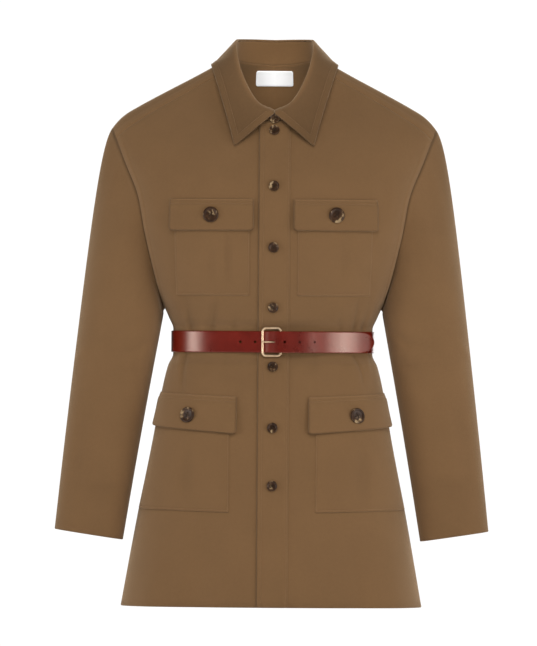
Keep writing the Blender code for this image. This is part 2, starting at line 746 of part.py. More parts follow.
def build_collar(kit):
    """Standing band with lapped ends, and the leaf turned down over it."""
    seam, stations = neck_loop()
    top = round_neck(FOLD_LINE, stations)
    low = seam + (top - seam) * (SEAM_GAP * 2 / np.linalg.norm(top - seam, axis=1, keepdims=True))
    grid = np.array([low, (low + top) / 2, top])
    normal = grid_normals(grid, body_axis(grid))
    grid = grid + normal * lap_lift(2 - stations)[None, :, None]
    kit.shell("collar_stand", grid, COLLAR_CLOTH, body_axis(grid))

    between = stations[(stations > LEAF_START) & (stations < 2 - LEAF_START)]
    leaf = np.concatenate([[LEAF_START], between, [2 - LEAF_START]])
    low = np.stack([np.interp(leaf, stations, column) for column in low.T], axis=1)
    out = np.stack([np.interp(leaf, stations, column) for column in normal[2].T], axis=1)
    stations = leaf
    top = round_neck(FOLD_LINE, stations)
    edge = round_neck(LEAF_EDGE, stations)
    up = (top - low) / np.linalg.norm(top - low, axis=1, keepdims=True)
    share = np.where(stations <= 1, stations, 2 - stations)
    lap = lap_lift(share)[:, None]
    rise = LAY_GAP + COLLAR_CLOTH + SEAM_GAP
    over_button = LEAF_FRONT_OUT * (1 - ease(share / LEAF_FRONT_RUN))[:, None]
    start = top - out * COLLAR_CLOTH + up * rise
    crest = top + out * lap * 0.5 + up * (rise + LEAF_ROLL_RISE)
    shoulder = top + out * (lap + rise + LEAF_ROLL_OUT + over_button) + up * LEAF_ROLL_DROP
    rows = [start, crest, shoulder]
    for t in LEAF_STEPS:
        bulge = out * LEAF_BULGE * math.sin(math.pi * t)
        rows.append(shoulder + (edge - shoulder) * t + bulge)
    grid = np.array(rows)
    kit.shell("collar_leaf", grid, COLLAR_CLOTH, body_axis(grid) - np.array([0.0, 0.0, 0.2]))


def build_pockets(kit):
    """Patch pockets, flaps and the flap buttons."""
    kinds = (("chest", CHEST_POCKET, CHEST_FLAP, CHEST_BUTTON), ("hip", HIP_POCKET, HIP_FLAP, HIP_BUTTON))
    for place, pocket, flap, spot in kinds:
        for word, side in (("left", 1), ("right", -1)):
            base = front_patch(pocket, side)
            outer = base + grid_normals(base, body_axis(base)) * (LAY_GAP + POCKET_CLOTH)
            kit.shell(f"{place}_pocket_{word}", outer, POCKET_CLOTH, body_axis(outer))
            base = front_patch(flap, side)
            normal = grid_normals(base, body_axis(base))
            drop = np.linspace(1, 0, flap.rows)
            stack = LAY_GAP + POCKET_CLOTH
            lift = stack + stack * ease(drop * 4) + FLAP_FLARE * drop ** 2
            outer = base + normal * lift[:, None, None]
            kit.shell(f"{place}_flap_{word}", outer, POCKET_CLOTH, body_axis(outer))
            seat, out = surface_at(outer, *spot)
            kit.button(f"button_{place}_{word}", seat + out * SEAM_GAP * 2, out, FLAP_BUTTON_RADIUS)


def surface_at(grid, across, up):
    """Point and outward normal of a grid at shares of its width and height."""
    rows, columns = grid.shape[:2]
    normal = grid_normals(grid, body_axis(grid))
    r, c = up * (rows - 1), across * (columns - 1)
    r0, c0 = min(int(r), rows - 2), min(int(c), columns - 2)
    a, b = r - r0, c - c0

    def blend(values):
        return (values[r0, c0] * (1 - a) * (1 - b) + values[r0, c0 + 1] * (1 - a) * b
                + values[r0 + 1, c0] * a * (1 - b) + values[r0 + 1, c0 + 1] * a * b)

    out = blend(normal)
    return blend(grid), out / np.linalg.norm(out)


def build_front_buttons(kit):
    """Buttons down the band and the one on the collar stand."""
    for index, z in enumerate(FRONT_BUTTONS):
        near = (z - FRONT_BUTTON_RADIUS, z, z + FRONT_BUTTON_RADIUS)
        seats = [body_row("front", (0.0, h), (SHORT_ROW, h))[0] for h in near]
        slope = seats[2] - seats[0]
        normal = np.array([0.0, -slope[2], slope[1]])
        normal /= np.linalg.norm(normal)
        seat = seats[1] + normal * (LAY_GAP + CLOTH + SEAM_GAP * 2)
        kit.button(f"button_{index + 1}", seat, normal, FRONT_BUTTON_RADIUS)
    low = body_row("front", (0.0, FRONT_NECK), (SHORT_ROW, FRONT_NECK))[0]
    top = np.array(FOLD_LINE[0])
    slope = (top - low) / np.linalg.norm(top - low)
    normal = np.array([0.0, -slope[2], slope[1]])
    share = (STAND_BUTTON - low[2]) / (top[2] - low[2])
    seat = low + (top - low) * share + normal * (COLLAR_CLOTH + LAY_GAP + SEAM_GAP * 2)
    kit.button("button_stand", seat, normal, FRONT_BUTTON_RADIUS)


class Waist:
    """The body's outline under the belt, measured from the middle of the front towards +X."""

    def __init__(self):
        reach = half_width_at(BELT_CENTRE)
        front = body_row("front", (0.0, BELT_CENTRE), (reach, BELT_CENTRE))
        back = body_row("back", (0.0, BELT_CENTRE), (reach, BELT_CENTRE))
        half = np.concatenate([front, back[::-1][1:]])
        other = mirrored(half[::-1], -1)[1:]
        self.line = np.concatenate([half, other])
        self.run = lengths(self.line)
        self.length = self.run[-1]

    def at(self, distance, out, height):
        """Point at a distance along the waist, set out from the cloth, at a height."""
        near = [np.mod(distance + d, self.length) for d in (-0.002, 0.0, 0.002)]
        back, here, ahead = along(self.line, near)
        tangent = ahead - back
        normal = np.array([tangent[1], -tangent[0], 0.0])
        normal /= np.linalg.norm(normal)
        point = here + normal * out
        point[2] = height
        return point

    def base(self, distance):
        """Distance of the belt's middle from the cloth, more where it lies on the band."""
        signed = (distance + self.length / 2) % self.length - self.length / 2
        band = (CLOTH + LAY_GAP) * (1 - ease((abs(signed) - BAND_REACH) / BAND_EASE))
        return SEAM_GAP + band + BELT_LEATHER / 2

    def under(self, distance):
        """Middle of the strap's first turn."""
        lift = smooth([r.along for r in UNDER_LIFT], [r.lift for r in UNDER_LIFT], distance)
        return self.base(distance) + float(lift)

    def over(self, distance):
        """Middle of the strap where it passes the buckle and lies on its first turn."""
        lift = smooth([r.along for r in OVER_LIFT], [r.lift for r in OVER_LIFT], distance)
        return self.base(distance) + float(lift)


def belt_path(waist):
    """Distance along the waist and distance from the cloth of each point of the strap."""
    loop = FRAME_ROD + SEAM_GAP + BELT_LEATHER / 2
    path = [(d, waist.base(d)) for d in np.linspace(FOLD_BACK, FRAME_RIGHT + 0.006, 4)]
    centre = waist.base(FRAME_RIGHT) + loop
    for angle in np.linspace(-90, -270, 9):
        turn = math.radians(angle)
        path.append((FRAME_RIGHT + loop * math.cos(turn), centre + loop * math.sin(turn)))
    first = np.concatenate([np.linspace(0.018, 0.10, 9), np.linspace(0.110, waist.length - 0.07, 54)])
    path += [(d, waist.under(d)) for d in first]
    past = np.concatenate([np.linspace(-0.055, 0.06, 24), np.linspace(0.07, BELT_TAIL - BELT_TIP, 10)])
    path += [(waist.length + d, waist.over(d)) for d in past]
    tip = BELT_TAIL - BELT_TIP * (1 - np.sin(np.radians(TIP_ANGLES)))
    path += [(waist.length + d, waist.over(d)) for d in tip]
    return path


def build_belt(kit):
    """Strap, buckle frame and prong."""
    waist = Waist()
    path = belt_path(waist)
    half = BELT_WIDTH / 2
    tips = [math.cos(math.radians(a)) ** TIP_POWER for a in TIP_ANGLES]
    shares = [1.0] * (len(path) - len(tips)) + tips
    grid = np.array([
        [waist.at(d, out, BELT_CENTRE + half * share * edge) for (d, out), share in zip(path, shares)]
        for edge in (-1, 1)])
    belt = kit.shell("belt", grid, BELT_LEATHER, body_axis(grid), "leather", centred=True)
    cut_belt(kit, waist, belt)

    left = waist.over(FRAME_LEFT) + BELT_LEATHER / 2 + SEAM_GAP + FRAME_ROD
    right = waist.base(FRAME_RIGHT) + FRAME_ROD + SEAM_GAP + BELT_LEATHER / 2
    outline = []
    corners = ((FRAME_RIGHT, 1), (FRAME_LEFT, 1), (FRAME_LEFT, -1), (FRAME_RIGHT, -1))
    for index, (x, z) in enumerate(corners):
        start = 90 * index
        inward = -1 if x == FRAME_RIGHT else 1
        for step in np.linspace(start, start + 90, 5):
            turn = math.radians(step)
            outline.append((x + FRAME_CORNER * (inward + math.cos(turn)),
                            z * (FRAME_HALF_HEIGHT - FRAME_CORNER) + FRAME_CORNER * math.sin(turn)))
    frame = []
    for d, z in outline:
        share = (d - FRAME_LEFT) / (FRAME_RIGHT - FRAME_LEFT)
        frame.append(waist.at(d, left + (right - left) * share, BELT_CENTRE + z))
    kit.rod("buckle_frame", frame, FRAME_ROD, "brass", cyclic=True)

    ring = FRAME_ROD + SEAM_GAP + PRONG_ROD
    prong = []
    for angle in np.linspace(-150, 130, 12):
        turn = math.radians(angle)
        prong.append((FRAME_RIGHT + ring * math.cos(turn), right + ring * math.sin(turn)))
    rest = left + FRAME_ROD + SEAM_GAP + PRONG_ROD
    prong += [(place.along, right + place.lift) for place in PRONG_BAR]
    prong += [(place.along, rest + place.lift) for place in PRONG_REST]
    kit.rod("buckle_prong", [waist.at(d, out, BELT_CENTRE) for d, out in prong], PRONG_ROD, "brass")


def cut_belt(kit, waist, belt):
    """Holes of the tail, the prong's slot and the gap in the loop round the buckle's bar."""
    shapes = [(PRONG_HOLE + HOLE_PITCH * n, HOLE_RADIUS, HOLE_RADIUS) for n in HOLES]
    shapes.append((PRONG_SLOT_AT, PRONG_SLOT / 2, PRONG_SLOT_HALF))
    for index, (d, wide, tall) in enumerate(shapes):
        middle = Vector(waist.at(d, waist.over(d), BELT_CENTRE))
        lower = Vector(waist.at(d, 0.0, BELT_CENTRE))
        slope = (waist.over(d + 0.002) - waist.over(d - 0.002)) / 0.004
        bpy.ops.mesh.primitive_cylinder_add(vertices=12, radius=1.0, depth=1.0)
        cutter = bpy.context.object
        cutter.name = f"hole_{index}"
        out = (middle - lower).normalized()
        side = Vector((0, 0, 1)).cross(out)
        out = (out - side * slope).normalized()
        level = Vector((0, 0, 1)).cross(out).normalized()
        cutter.rotation_mode = "QUATERNION"
        cutter.rotation_quaternion = Matrix((level, out.cross(level), out)).transposed().to_quaternion()
        cutter.location = middle
        cutter.scale = (wide, tall, BELT_LEATHER + SEAM_GAP)
        keep_cutter(kit, cutter)
    centre = waist.base(FRAME_RIGHT) + FRAME_ROD + SEAM_GAP + BELT_LEATHER / 2
    bpy.ops.mesh.primitive_cube_add(size=1.0)
    cutter = bpy.context.object
    cutter.name = "loop_gap"
    cutter.location = waist.at(LOOP_GAP_AT, centre, BELT_CENTRE)
    cutter.scale = (LOOP_GAP_WIDTH, LOOP_GAP_DEPTH, LOOP_GAP_HEIGHT)
    keep_cutter(kit, cutter)
    cut = belt.modifiers.new("holes", "BOOLEAN")
    cut.operation = "DIFFERENCE"
    cut.solver = "EXACT"
    cut.operand_type = "COLLECTION"
    cut.collection = kit.cutters


def keep_cutter(kit, cutter):
    """Move a cutter to its own collection, out of the render."""
    for collection in list(cutter.users_collection):
        collection.objects.unlink(cutter)
    kit.cutters.objects.link(cutter)
    cutter.hide_render = True
    cutter.display_type = "WIRE"


def build_label(kit):
    """Bare label on the inner face of the back, under the neck seam."""
    grid = []
    for z in np.linspace(LABEL_BOTTOM, LABEL_TOP, 3):
        right = body_row("back", (0.0, z), (0.1, z))
        half = along(right, np.linspace(0, LABEL_WIDTH / 2, 4))
        grid.append(np.concatenate([mirrored(half[::-1], -1), half[1:]]))
    grid = np.array(grid)
    inner = grid - grid_normals(grid, body_axis(grid)) * (CLOTH + LABEL_GAP)
    kit.shell("neck_label", inner, LABEL_CLOTH, body_axis(inner), "label")


def main():
    """Build the coat."""
    clear_parts()
    kit = Kit()
    build_body(kit)
    build_sleeves(kit)
    build_collar(kit)
    build_pockets(kit)
    build_front_buttons(kit)
    build_belt(kit)
    build_label(kit)


main()
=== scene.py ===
"""Looks of the belted coat: cloth, leather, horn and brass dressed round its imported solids, in metres.

The front faces -Y, +X is the wearer's left, and the origin is the middle of the neck.
"""

import logging
import math
from dataclasses import dataclass, field
from enum import Enum
from typing import Iterable, NamedTuple, Optional, Sequence, Union

import bpy
import numpy as np
from bpy.types import Light, Material, Mesh, Node, NodeSocket, NodeTree, Object
from mathutils import Matrix, Vector


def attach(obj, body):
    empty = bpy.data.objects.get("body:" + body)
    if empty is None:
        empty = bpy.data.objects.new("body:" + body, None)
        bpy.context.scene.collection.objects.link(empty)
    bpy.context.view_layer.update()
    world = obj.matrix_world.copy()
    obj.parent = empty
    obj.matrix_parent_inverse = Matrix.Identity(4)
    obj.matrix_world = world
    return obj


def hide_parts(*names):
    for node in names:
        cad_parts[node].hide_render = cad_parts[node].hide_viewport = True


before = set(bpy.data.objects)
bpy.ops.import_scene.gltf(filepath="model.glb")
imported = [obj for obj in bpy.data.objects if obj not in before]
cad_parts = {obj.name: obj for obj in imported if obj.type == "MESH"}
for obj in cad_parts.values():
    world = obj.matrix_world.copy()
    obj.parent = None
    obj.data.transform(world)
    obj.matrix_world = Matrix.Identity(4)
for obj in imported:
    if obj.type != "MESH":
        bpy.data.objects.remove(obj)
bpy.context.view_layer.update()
BODY = "root"
MM = 0.001
SEAM_GAP = 0.0003
LAY_GAP = 0.0006
CLOTH = 0.0016
SHORT_ROW = 0.05
UP = (0.0, 0.0, 1.0)
WHITE = (1.0, 1.0, 1.0)
MIX_COLOURS = (6, 7)
MIX_RESULT = 2
LOG = logging.getLogger("belted_coat")

Array = np.ndarray
Point = tuple[float, float]
Place = tuple[float, float, float]
Colour = tuple[float, float, float]
Stops = tuple[float, float, int]
Floats = tuple[float, ...]
Points = tuple[Point, ...]
Number = Union[float, Array]
Value = Union[NodeSocket, float, tuple]
Parting = Optional[tuple[int, int]]
Block = tuple[Array, list]
Run = tuple[Array, Array]


class Face(Enum):
    """A side of the body; the value is the way its depth runs along Y."""

    FRONT = -1.0
    BACK = 1.0


class Slot(Enum):
    """Material slots, named in each piece's log line."""

    CLOTH = "cloth"
    BUTTON = "button"
    LEATHER = "leather"
    BRASS = "brass"
    LABEL = "label"


class Held(Enum):
    """How a sheet of cloth is held."""

    HUNG = "hung"
    LAID = "laid"
    FOLDED = "folded"


class Section(NamedTuple):
    """Half section of the body; squareness is 2 for an ellipse and more for a squarer one."""

    height: float
    half_width: float
    front_depth: float
    back_depth: float
    squareness: float


class Fold(NamedTuple):
    """A fold pressed out of the body by the belt; turn is 0 in the middle and 90 at the side."""

    face: Face
    side: int
    turn: float
    width: float
    top: float
    bottom: float
    depth: float


class Crease(NamedTuple):
    """A soft trough or ridge in millimetres, along knots of (distance across, height, depth).

    Depth is below 0 for a trough. Lean makes one flank wider than the other.
    """

    width: float
    knots: tuple[Place, ...]
    lean: float = 0.0


class Line(NamedTuple):
    """A row of a panel: its ends as (x, z) of the front view, and how far it follows the shoulder."""

    start: Point
    end: Point
    follow: float


class Ring(NamedTuple):
    """A ring of the sleeve, square to its slanting axis."""

    share: float
    reach: float
    depth_at: float
    height: float
    half_width: float
    half_depth: float


class Patch(NamedTuple):
    """A pocket or flap: distances from the middle, heights, the outer end's rise and reach at the foot."""

    inner: float
    outer: float
    top: float
    bottom: float
    top_rise: float = 0.0
    bottom_rise: float = 0.0
    foot_out: float = 0.0


class Seat(NamedTuple):
    """Where a button sits: its node, the middle of its back, the way it faces and its radius."""

    name: str
    point: Array
    normal: Array
    radius: float


class Softbox(NamedTuple):
    """A rectangular light; glossy things show it if it mirrors."""

    name: str
    place: Place
    size: Point
    power: float
    mirrors: bool = True


def smooth(knots: Sequence[float], values: Sequence[float], at: Array) -> Array:
    """Fair curve through a table's rows that never swings past them.

    Args:
        knots: rising places of the rows.
        values: values of the rows.
        at: places to read.
    Returns:
        The values there.
    """
    knots = np.asarray(knots, dtype=float)
    values = np.asarray(values, dtype=float)
    step = np.diff(knots)
    slope = np.diff(values) / step
    tangent = np.zeros_like(values)
    tangent[0], tangent[-1] = slope[0], slope[-1]
    before, after = slope[:-1], slope[1:]
    same_way = before * after > 0
    tangent[1:-1][same_way] = (2 * before * after)[same_way] / (before + after)[same_way]
    at = np.clip(np.asarray(at, dtype=float), knots[0], knots[-1])
    cell = np.clip(np.searchsorted(knots, at) - 1, 0, len(step) - 1)
    t = (at - knots[cell]) / step[cell]
    start = values[cell] * (1 + 2 * t) * (1 - t) ** 2 + tangent[cell] * step[cell] * t * (1 - t) ** 2
    end = values[cell + 1] * t * t * (3 - 2 * t) - tangent[cell + 1] * step[cell] * t * t * (1 - t)
    return start + end


def table_at(rows: Sequence[tuple], at: Array) -> list[Array]:
    """Later columns of a table, read at places of its first column."""
    knots, *columns = zip(*rows)
    return [smooth(knots, column, at) for column in columns]


def ease(value: Array) -> Array:
    """Soft step from 0 to 1."""
    value = np.clip(value, 0.0, 1.0)
    return value * value * (3 - 2 * value)


def bell(away: Array, width: Number) -> Array:
    """1 at no distance, falling off softly over a width."""
    return np.exp(-(away / width) ** 2)


def rounded(edge: Array, corner: float) -> Array:
    """How far a rounded corner draws a side in, at distances from the edge."""
    return corner * (1 - np.sqrt(1 - (1 - np.clip(edge / corner, 0, 1)) ** 2))


def index_of(values: Array, at: Number) -> Array:
    """Where values lie in a rising row, counted in its steps."""
    return np.interp(at, values, np.arange(len(values)))


def lengths(points: Array) -> Array:
    """Distance along a row of points, from its first one."""
    return np.concatenate(([0.0], np.cumsum(np.linalg.norm(np.diff(points, axis=0), axis=1))))


def read(places: Array, values: Array, at: Array) -> Array:
    """Rows of values kept at rising places, read in between."""
    return np.stack([np.interp(at, places, column) for column in values.T], axis=1)


def along(points: Array, distances: Sequence[float]) -> Array:
    """Points at given distances along a row of points."""
    return read(lengths(points), points, distances)


def unit(vectors: Array) -> Array:
    """The vectors at length 1."""
    return vectors / np.maximum(np.linalg.norm(vectors, axis=-1, keepdims=True), 1e-12)


def spline(places: Array, shares: Array, fine: int = 400) -> Array:
    """Read a smooth curve through places.

    Args:
        places: points that it runs through.
        shares: shares of its length to read.
        fine: number of points that it is first laid out with.
    Returns:
        The points there.
    """
    knots = np.array(places)
    chord = lengths(knots) / lengths(knots)[-1]
    dense = np.stack([smooth(chord, column, np.linspace(0, 1, fine)) for column in knots.T], axis=1)
    return along(dense, np.asarray(shares) * lengths(dense)[-1])


def spread(values: Sequence[float], parts: int) -> Array:
    """The values with each step between them cut into parts."""
    count = len(values) - 1
    return np.interp(np.linspace(0, count, count * parts + 1), np.arange(count + 1), values)


def ruler(low: float, high: float, step: float, marks: Iterable[float] = (), near: float = 0.0008) -> Array:
    """Places about a step apart, with close neighbours at each mark.

    Args:
        low: first place.
        high: last place.
        step: largest distance between places.
        marks: places that get neighbours.
        near: how close the neighbours are.
    Returns:
        The rising places.
    """
    close = [mark + near * offset for mark in marks for offset in (-1.0, 0.0, 1.0)]
    close = [place for place in close if low < place < high]
    even = np.linspace(low, high, max(3, math.ceil((high - low) / step) + 1))
    clear = [place for place in even[1:-1] if all(abs(place - other) > near / 2 for other in close)]
    return np.array(sorted([low, *clear, *close, high]))


def crease_push(creases: Iterable[Crease], across: Array, height: Array) -> Array:
    """How far creases move points of a surface along its normal.

    Args:
        creases: troughs and ridges.
        across: distance of each point across the surface.
        height: height of each point.
    Returns:
        The push of each point, below 0 for inwards.
    """
    push = np.zeros_like(across)
    for crease in creases:
        knots = np.array(crease.knots) * MM
        best = np.full(across.shape, np.inf)
        away = np.zeros_like(across)
        depth = np.zeros_like(across)
        for (u0, v0, d0), (u1, v1, d1) in zip(knots[:-1], knots[1:]):
            run_u, run_v = u1 - u0, v1 - v0
            t = ((across - u0) * run_u + (height - v0) * run_v) / (run_u ** 2 + run_v ** 2)
            t = np.clip(t, 0, 1)
            off_u, off_v = across - u0 - t * run_u, height - v0 - t * run_v
            gap = np.hypot(off_u, off_v)
            nearer = gap < best
            best = np.where(nearer, gap, best)
            away = np.where(nearer, gap * np.sign(run_u * off_v - run_v * off_u), away)
            depth = np.where(nearer, d0 + (d1 - d0) * ease(t), depth)
        width = crease.width * MM * (1 + crease.lean * np.sign(away))
        push += depth * bell(away, width)
    return push


def grid_normals(grid: Array, inside: Array, wrap: bool = False) -> Array:
    """Unit normals of a grid of points.

    Args:
        grid: the points.
        inside: points that the normals turn away from.
        wrap: whether the rows close on themselves.
    Returns:
        The normal of each point.
    """
    wide = np.concatenate([grid[:, -1:], grid, grid[:, :1]], axis=1) if wrap else grid
    across = np.gradient(wide, axis=1)
    across = across[:, 1:-1] if wrap else across
    normal = unit(np.cross(across, np.gradient(grid, axis=0)))
    return normal if np.sum(normal * (grid - inside)) > 0 else -normal


def outward(grid: Array, below: float = 0.0) -> Array:
    """Unit normals of a grid on the body, away from its middle line or from places below it."""
    return grid_normals(grid, grid * UP - np.array(UP) * below)


def mirrored(grid: Array, side: float) -> Array:
    """The grid on the wearer's left for side 1, or its mirror image for side -1."""
    return grid * np.array([side, 1.0, 1.0])


def flipped(line: Line) -> Line:
    """The row's mirror image on the wearer's right."""
    return Line((-line.start[0], line.start[1]), (-line.end[0], line.end[1]), line.follow)


def edge_runs(grid: Array) -> tuple[Array, Array]:
    """Distance of each point of a grid along its row and along its column."""
    columns = np.array([lengths(column) for column in grid.transpose(1, 0, 2)]).T
    return np.array([lengths(row) for row in grid]), columns


def add_object(name: str, mesh: Mesh, material: Material) -> Object:
    """Put a mesh in the scene, smooth and with one material.

    Args:
        name: name of the new object.
        mesh: its mesh.
        material: its finish.
    Returns:
        The object.
    """
    mesh.materials.clear()
    mesh.materials.append(material)
    mesh.shade_smooth()
    piece = bpy.data.objects.new(name, mesh)
    bpy.context.scene.collection.objects.link(piece)
    return piece


@dataclass
class Sheet:
    """A sheet of cloth with an outer and an inner face, and rounded edges between them.

    Rows close on themselves in one that wraps, as round a sleeve. Tone is above 0 where painted light makes
    it lighter and below 0 where painted shade makes it darker; on the sleeves it also darkens a band above
    the wrist.
    Parted is the row from which the sheet parts in two, and the last column before the parting.
    """

    outer: Array
    inner: Array
    wrap: bool = False
    tone: Optional[Array] = None
    parted: Parting = None

    def cut(self) -> tuple[Point, float]:
        """Measure the cloth that was cut for it.

        Returns:
            Its width and length, and its area.
        """
        grid = np.concatenate([self.outer, self.outer[:, :1]], axis=1) if self.wrap else self.outer
        across, up = edge_runs(grid)
        a, b = grid[1:, 1:] - grid[:-1, :-1], grid[1:, :-1] - grid[:-1, 1:]
        area = np.linalg.norm(np.cross(a, b), axis=2) / 2
        if self.parted:
            area[:, self.parted[1]] = 0.0
        flat = float(across.max()), float(up.max())
        return flat, min(float(area.sum()), flat[0] * flat[1])

    def trace(self, rows: Number, columns: Number) -> Run:
        """Read the outer face at places in or between its rows and columns.

        Args:
            rows: row of each place.
            columns: column of each place.
        Returns:
            The points and outward normals there.
        """
        rows, columns = np.broadcast_arrays(rows, columns)
        r = np.clip(np.floor(rows).astype(int), 0, self.outer.shape[0] - 2)
        c = np.clip(np.floor(columns).astype(int), 0, self.outer.shape[1] - 2)
        a, b = (rows - r)[:, None], (columns - c)[:, None]
        out = unit(self.outer - self.inner)

        def blend(values: Array) -> Array:
            """Values read between the four nearest points."""
            near, far = (values[row, c] * (1 - b) + values[row, c + 1] * b for row in (r, r + 1))
            return near * (1 - a) + far * a

        return blend(self.outer), unit(blend(out))

    def quads(self) -> Array:
        """Quads of the outer face, turned outwards.

        Returns:
            Corner numbers of each quad.
        """
        rows, columns = self.outer.shape[:2]
        index = np.arange(rows * columns).reshape(rows, columns)
        if self.parted:
            row, column = self.parted
            index[:row, column + 1] = index[:row, column]
        if self.wrap:
            index = np.concatenate([index, index[:, :1]], axis=1)
        quads = np.stack([index[:-1, :-1], index[:-1, 1:], index[1:, 1:], index[1:, :-1]], axis=-1)
        if self.parted:
            quads = np.delete(quads, self.parted[1], axis=1)
        quads = quads.reshape(-1, 4)
        outer, inner = self.outer.reshape(-1, 3), self.inner.reshape(-1, 3)
        a, b, _, d = outer[quads].transpose(1, 0, 2)
        facing = np.sum(np.cross(b - a, d - a) * (a - inner[quads[:, 0]]))
        return quads if facing > 0 else quads[:, ::-1]

    def mesh(self, name: str) -> Mesh:
        """Closed mesh of both faces and the rounded rim.

        Args:
            name: the mesh's name.
        Returns:
            The mesh, with its weave map and tone.
        """
        outer, inner, quads = self.outer.reshape(-1, 3), self.inner.reshape(-1, 3), self.quads()
        count = len(outer)
        a, b, _, d = outer[quads].transpose(1, 0, 2)
        facing = np.repeat(np.cross(b - a, d - a), 4, axis=0)
        edges = np.stack([quads, np.roll(quads, -1, axis=1)], axis=-1).reshape(-1, 2)
        bare = ~np.isin(edges[:, 0] * count + edges[:, 1], edges[:, 1] * count + edges[:, 0])
        start, end = edges[bare].T
        away = np.zeros_like(outer)
        for ends in (start, end):
            np.add.at(away, ends, unit(np.cross(outer[end] - outer[start], facing[bare])))
        rim = np.unique(start)
        depth = np.linalg.norm(outer[rim] - inner[rim], axis=1, keepdims=True)
        middle = (outer[rim] + inner[rim]) / 2 + unit(away[rim]) * depth / 2
        number = np.zeros(count, dtype=int)
        number[rim] = 2 * count + np.arange(len(rim))
        faces = np.concatenate([
            quads, quads[:, ::-1] + count,
            np.stack([end, start, number[start], number[end]], axis=1),
            np.stack([number[end], number[start], start + count, end + count], axis=1)])
        used, faces = np.unique(faces, return_inverse=True)
        points = np.concatenate([outer, inner, middle])[used]
        source = np.concatenate([np.arange(count), np.arange(count), rim])[used]
        made = bpy.data.meshes.new(name)
        made.from_pydata(points.tolist(), [], faces.reshape(-1, 4).tolist())
        tone = np.zeros(count) if self.tone is None else self.tone.reshape(-1)
        layer = made.attributes.new("tone", "FLOAT", "POINT")
        layer.data.foreach_set("value", tone[source].astype(np.float32))
        across, up = edge_runs(self.outer)
        across -= across[:, across.shape[1] // 2:across.shape[1] // 2 + 1]
        flat = np.stack([across, up], axis=-1).reshape(-1, 2)[source]
        corners = np.zeros(len(made.loops), dtype=np.int32)
        made.loops.foreach_get("vertex_index", corners)
        layer = made.uv_layers.new(name="weave")
        layer.data.foreach_set("uv", flat[corners].astype(np.float32).reshape(-1))
        return made


def deliver(piece: Object, slot: Slot, node: str = "") -> None:
    """Hand a finished piece to the coat's body and report it.

    Args:
        piece: the finished piece.
        slot: material slot of its finish, only named in the log.
        node: solid that it stands for, if any.
    """
    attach(piece, BODY)
    if node:
        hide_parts(node)
    LOG.info("%s: %d faces, %s", piece.name, len(piece.data.polygons), slot.value)


def hang(node: str, sheet: Sheet, material: Material,
         slot: Slot = Slot.CLOTH) -> None:
    """Make the piece of a sheet of cloth and attach it to the coat's body.

    Args:
        node: solid that it stands for.
        sheet: its faces.
        material: its finish.
        slot: material slot of its finish, passed on to the log.
    """
    piece = add_object(f"{node}_cloth", sheet.mesh(node), material)
    deliver(piece, slot, node)
    flat, area = sheet.cut()


def ring_faces(rows: int, sides: int, closed: bool) -> list:
    """Faces of a tube of rings, capped where it doesn't close on itself.

    Args:
        rows: number of rings.
        sides: corners of each ring.
        closed: whether the last ring joins the first.
    Returns:
        Corner numbers of each face.
    """
    faces = []
    for row in range(rows if closed else rows - 1):
        here, after = row * sides, (row + 1) % rows * sides
        for corner in range(sides):
            near = (corner + 1) % sides
            faces.append((here + corner, after + corner, after + near, here + near))
    if not closed:
        faces += [tuple(range(sides)), tuple(range(rows * sides - 1, (rows - 1) * sides - 1, -1))]
    return faces


def tube(points: Array, radius: Number, level: Sequence[float], sides: int = 16,
         closed: bool = False) -> Block:
    """Round rod along points.

    Args:
        points: middle line.
        radius: radius of the rod, or at each point.
        level: a direction that the line never runs along.
        sides: corners of its section.
        closed: whether the line joins its own start.
    Returns:
        Points and faces of the rod.
    """
    ahead = np.roll(points, -1, axis=0) - np.roll(points, 1, axis=0)
    if not closed:
        ahead[0], ahead[-1] = points[1] - points[0], points[-1] - points[-2]
    side = unit(np.cross(ahead, level))
    up = np.cross(side, unit(ahead))
    turn = np.linspace(0, 2 * math.pi, sides, endpoint=False)[None, :, None]
    ring = side[:, None] * np.cos(turn) + up[:, None] * np.sin(turn)
    ring = ring * np.broadcast_to(radius, len(points))[:, None, None]
    return (points[:, None] + ring).reshape(-1, 3), ring_faces(len(points), sides, closed)


def joined(name: str, blocks: Sequence[Block]) -> Mesh:
    """Join blocks of points and faces.

    Args:
        name: name of the new mesh.
        blocks: points and faces of each block.
    Returns:
        One mesh.
    """
    points, faces, start = [], [], 0
    for grid, polygons in blocks:
        points.append(grid)
        faces += [tuple(start + corner for corner in polygon) for polygon in polygons]
        start += len(grid)
    made = bpy.data.meshes.new(name)
    made.from_pydata(np.concatenate(points).tolist(), [], faces)
    return made


def bored(mesh: Mesh, cutter: Mesh) -> Mesh:
    """Take a form out of a mesh.

    Args:
        mesh: the mesh to cut.
        cutter: the form.
    Returns:
        A new mesh.
    """
    objects = [bpy.data.objects.new(data.name, data) for data in (mesh, cutter)]
    for thing in objects:
        bpy.context.scene.collection.objects.link(thing)
    cut = objects[0].modifiers.new("holes", "BOOLEAN")
    cut.operation = "DIFFERENCE"
    cut.solver = "EXACT"
    cut.use_self = True
    cut.object = objects[1]
    ready = objects[0].evaluated_get(bpy.context.evaluated_depsgraph_get())
    result = bpy.data.meshes.new_from_object(ready)
    for thing in objects:
        bpy.data.objects.remove(thing)
    return result


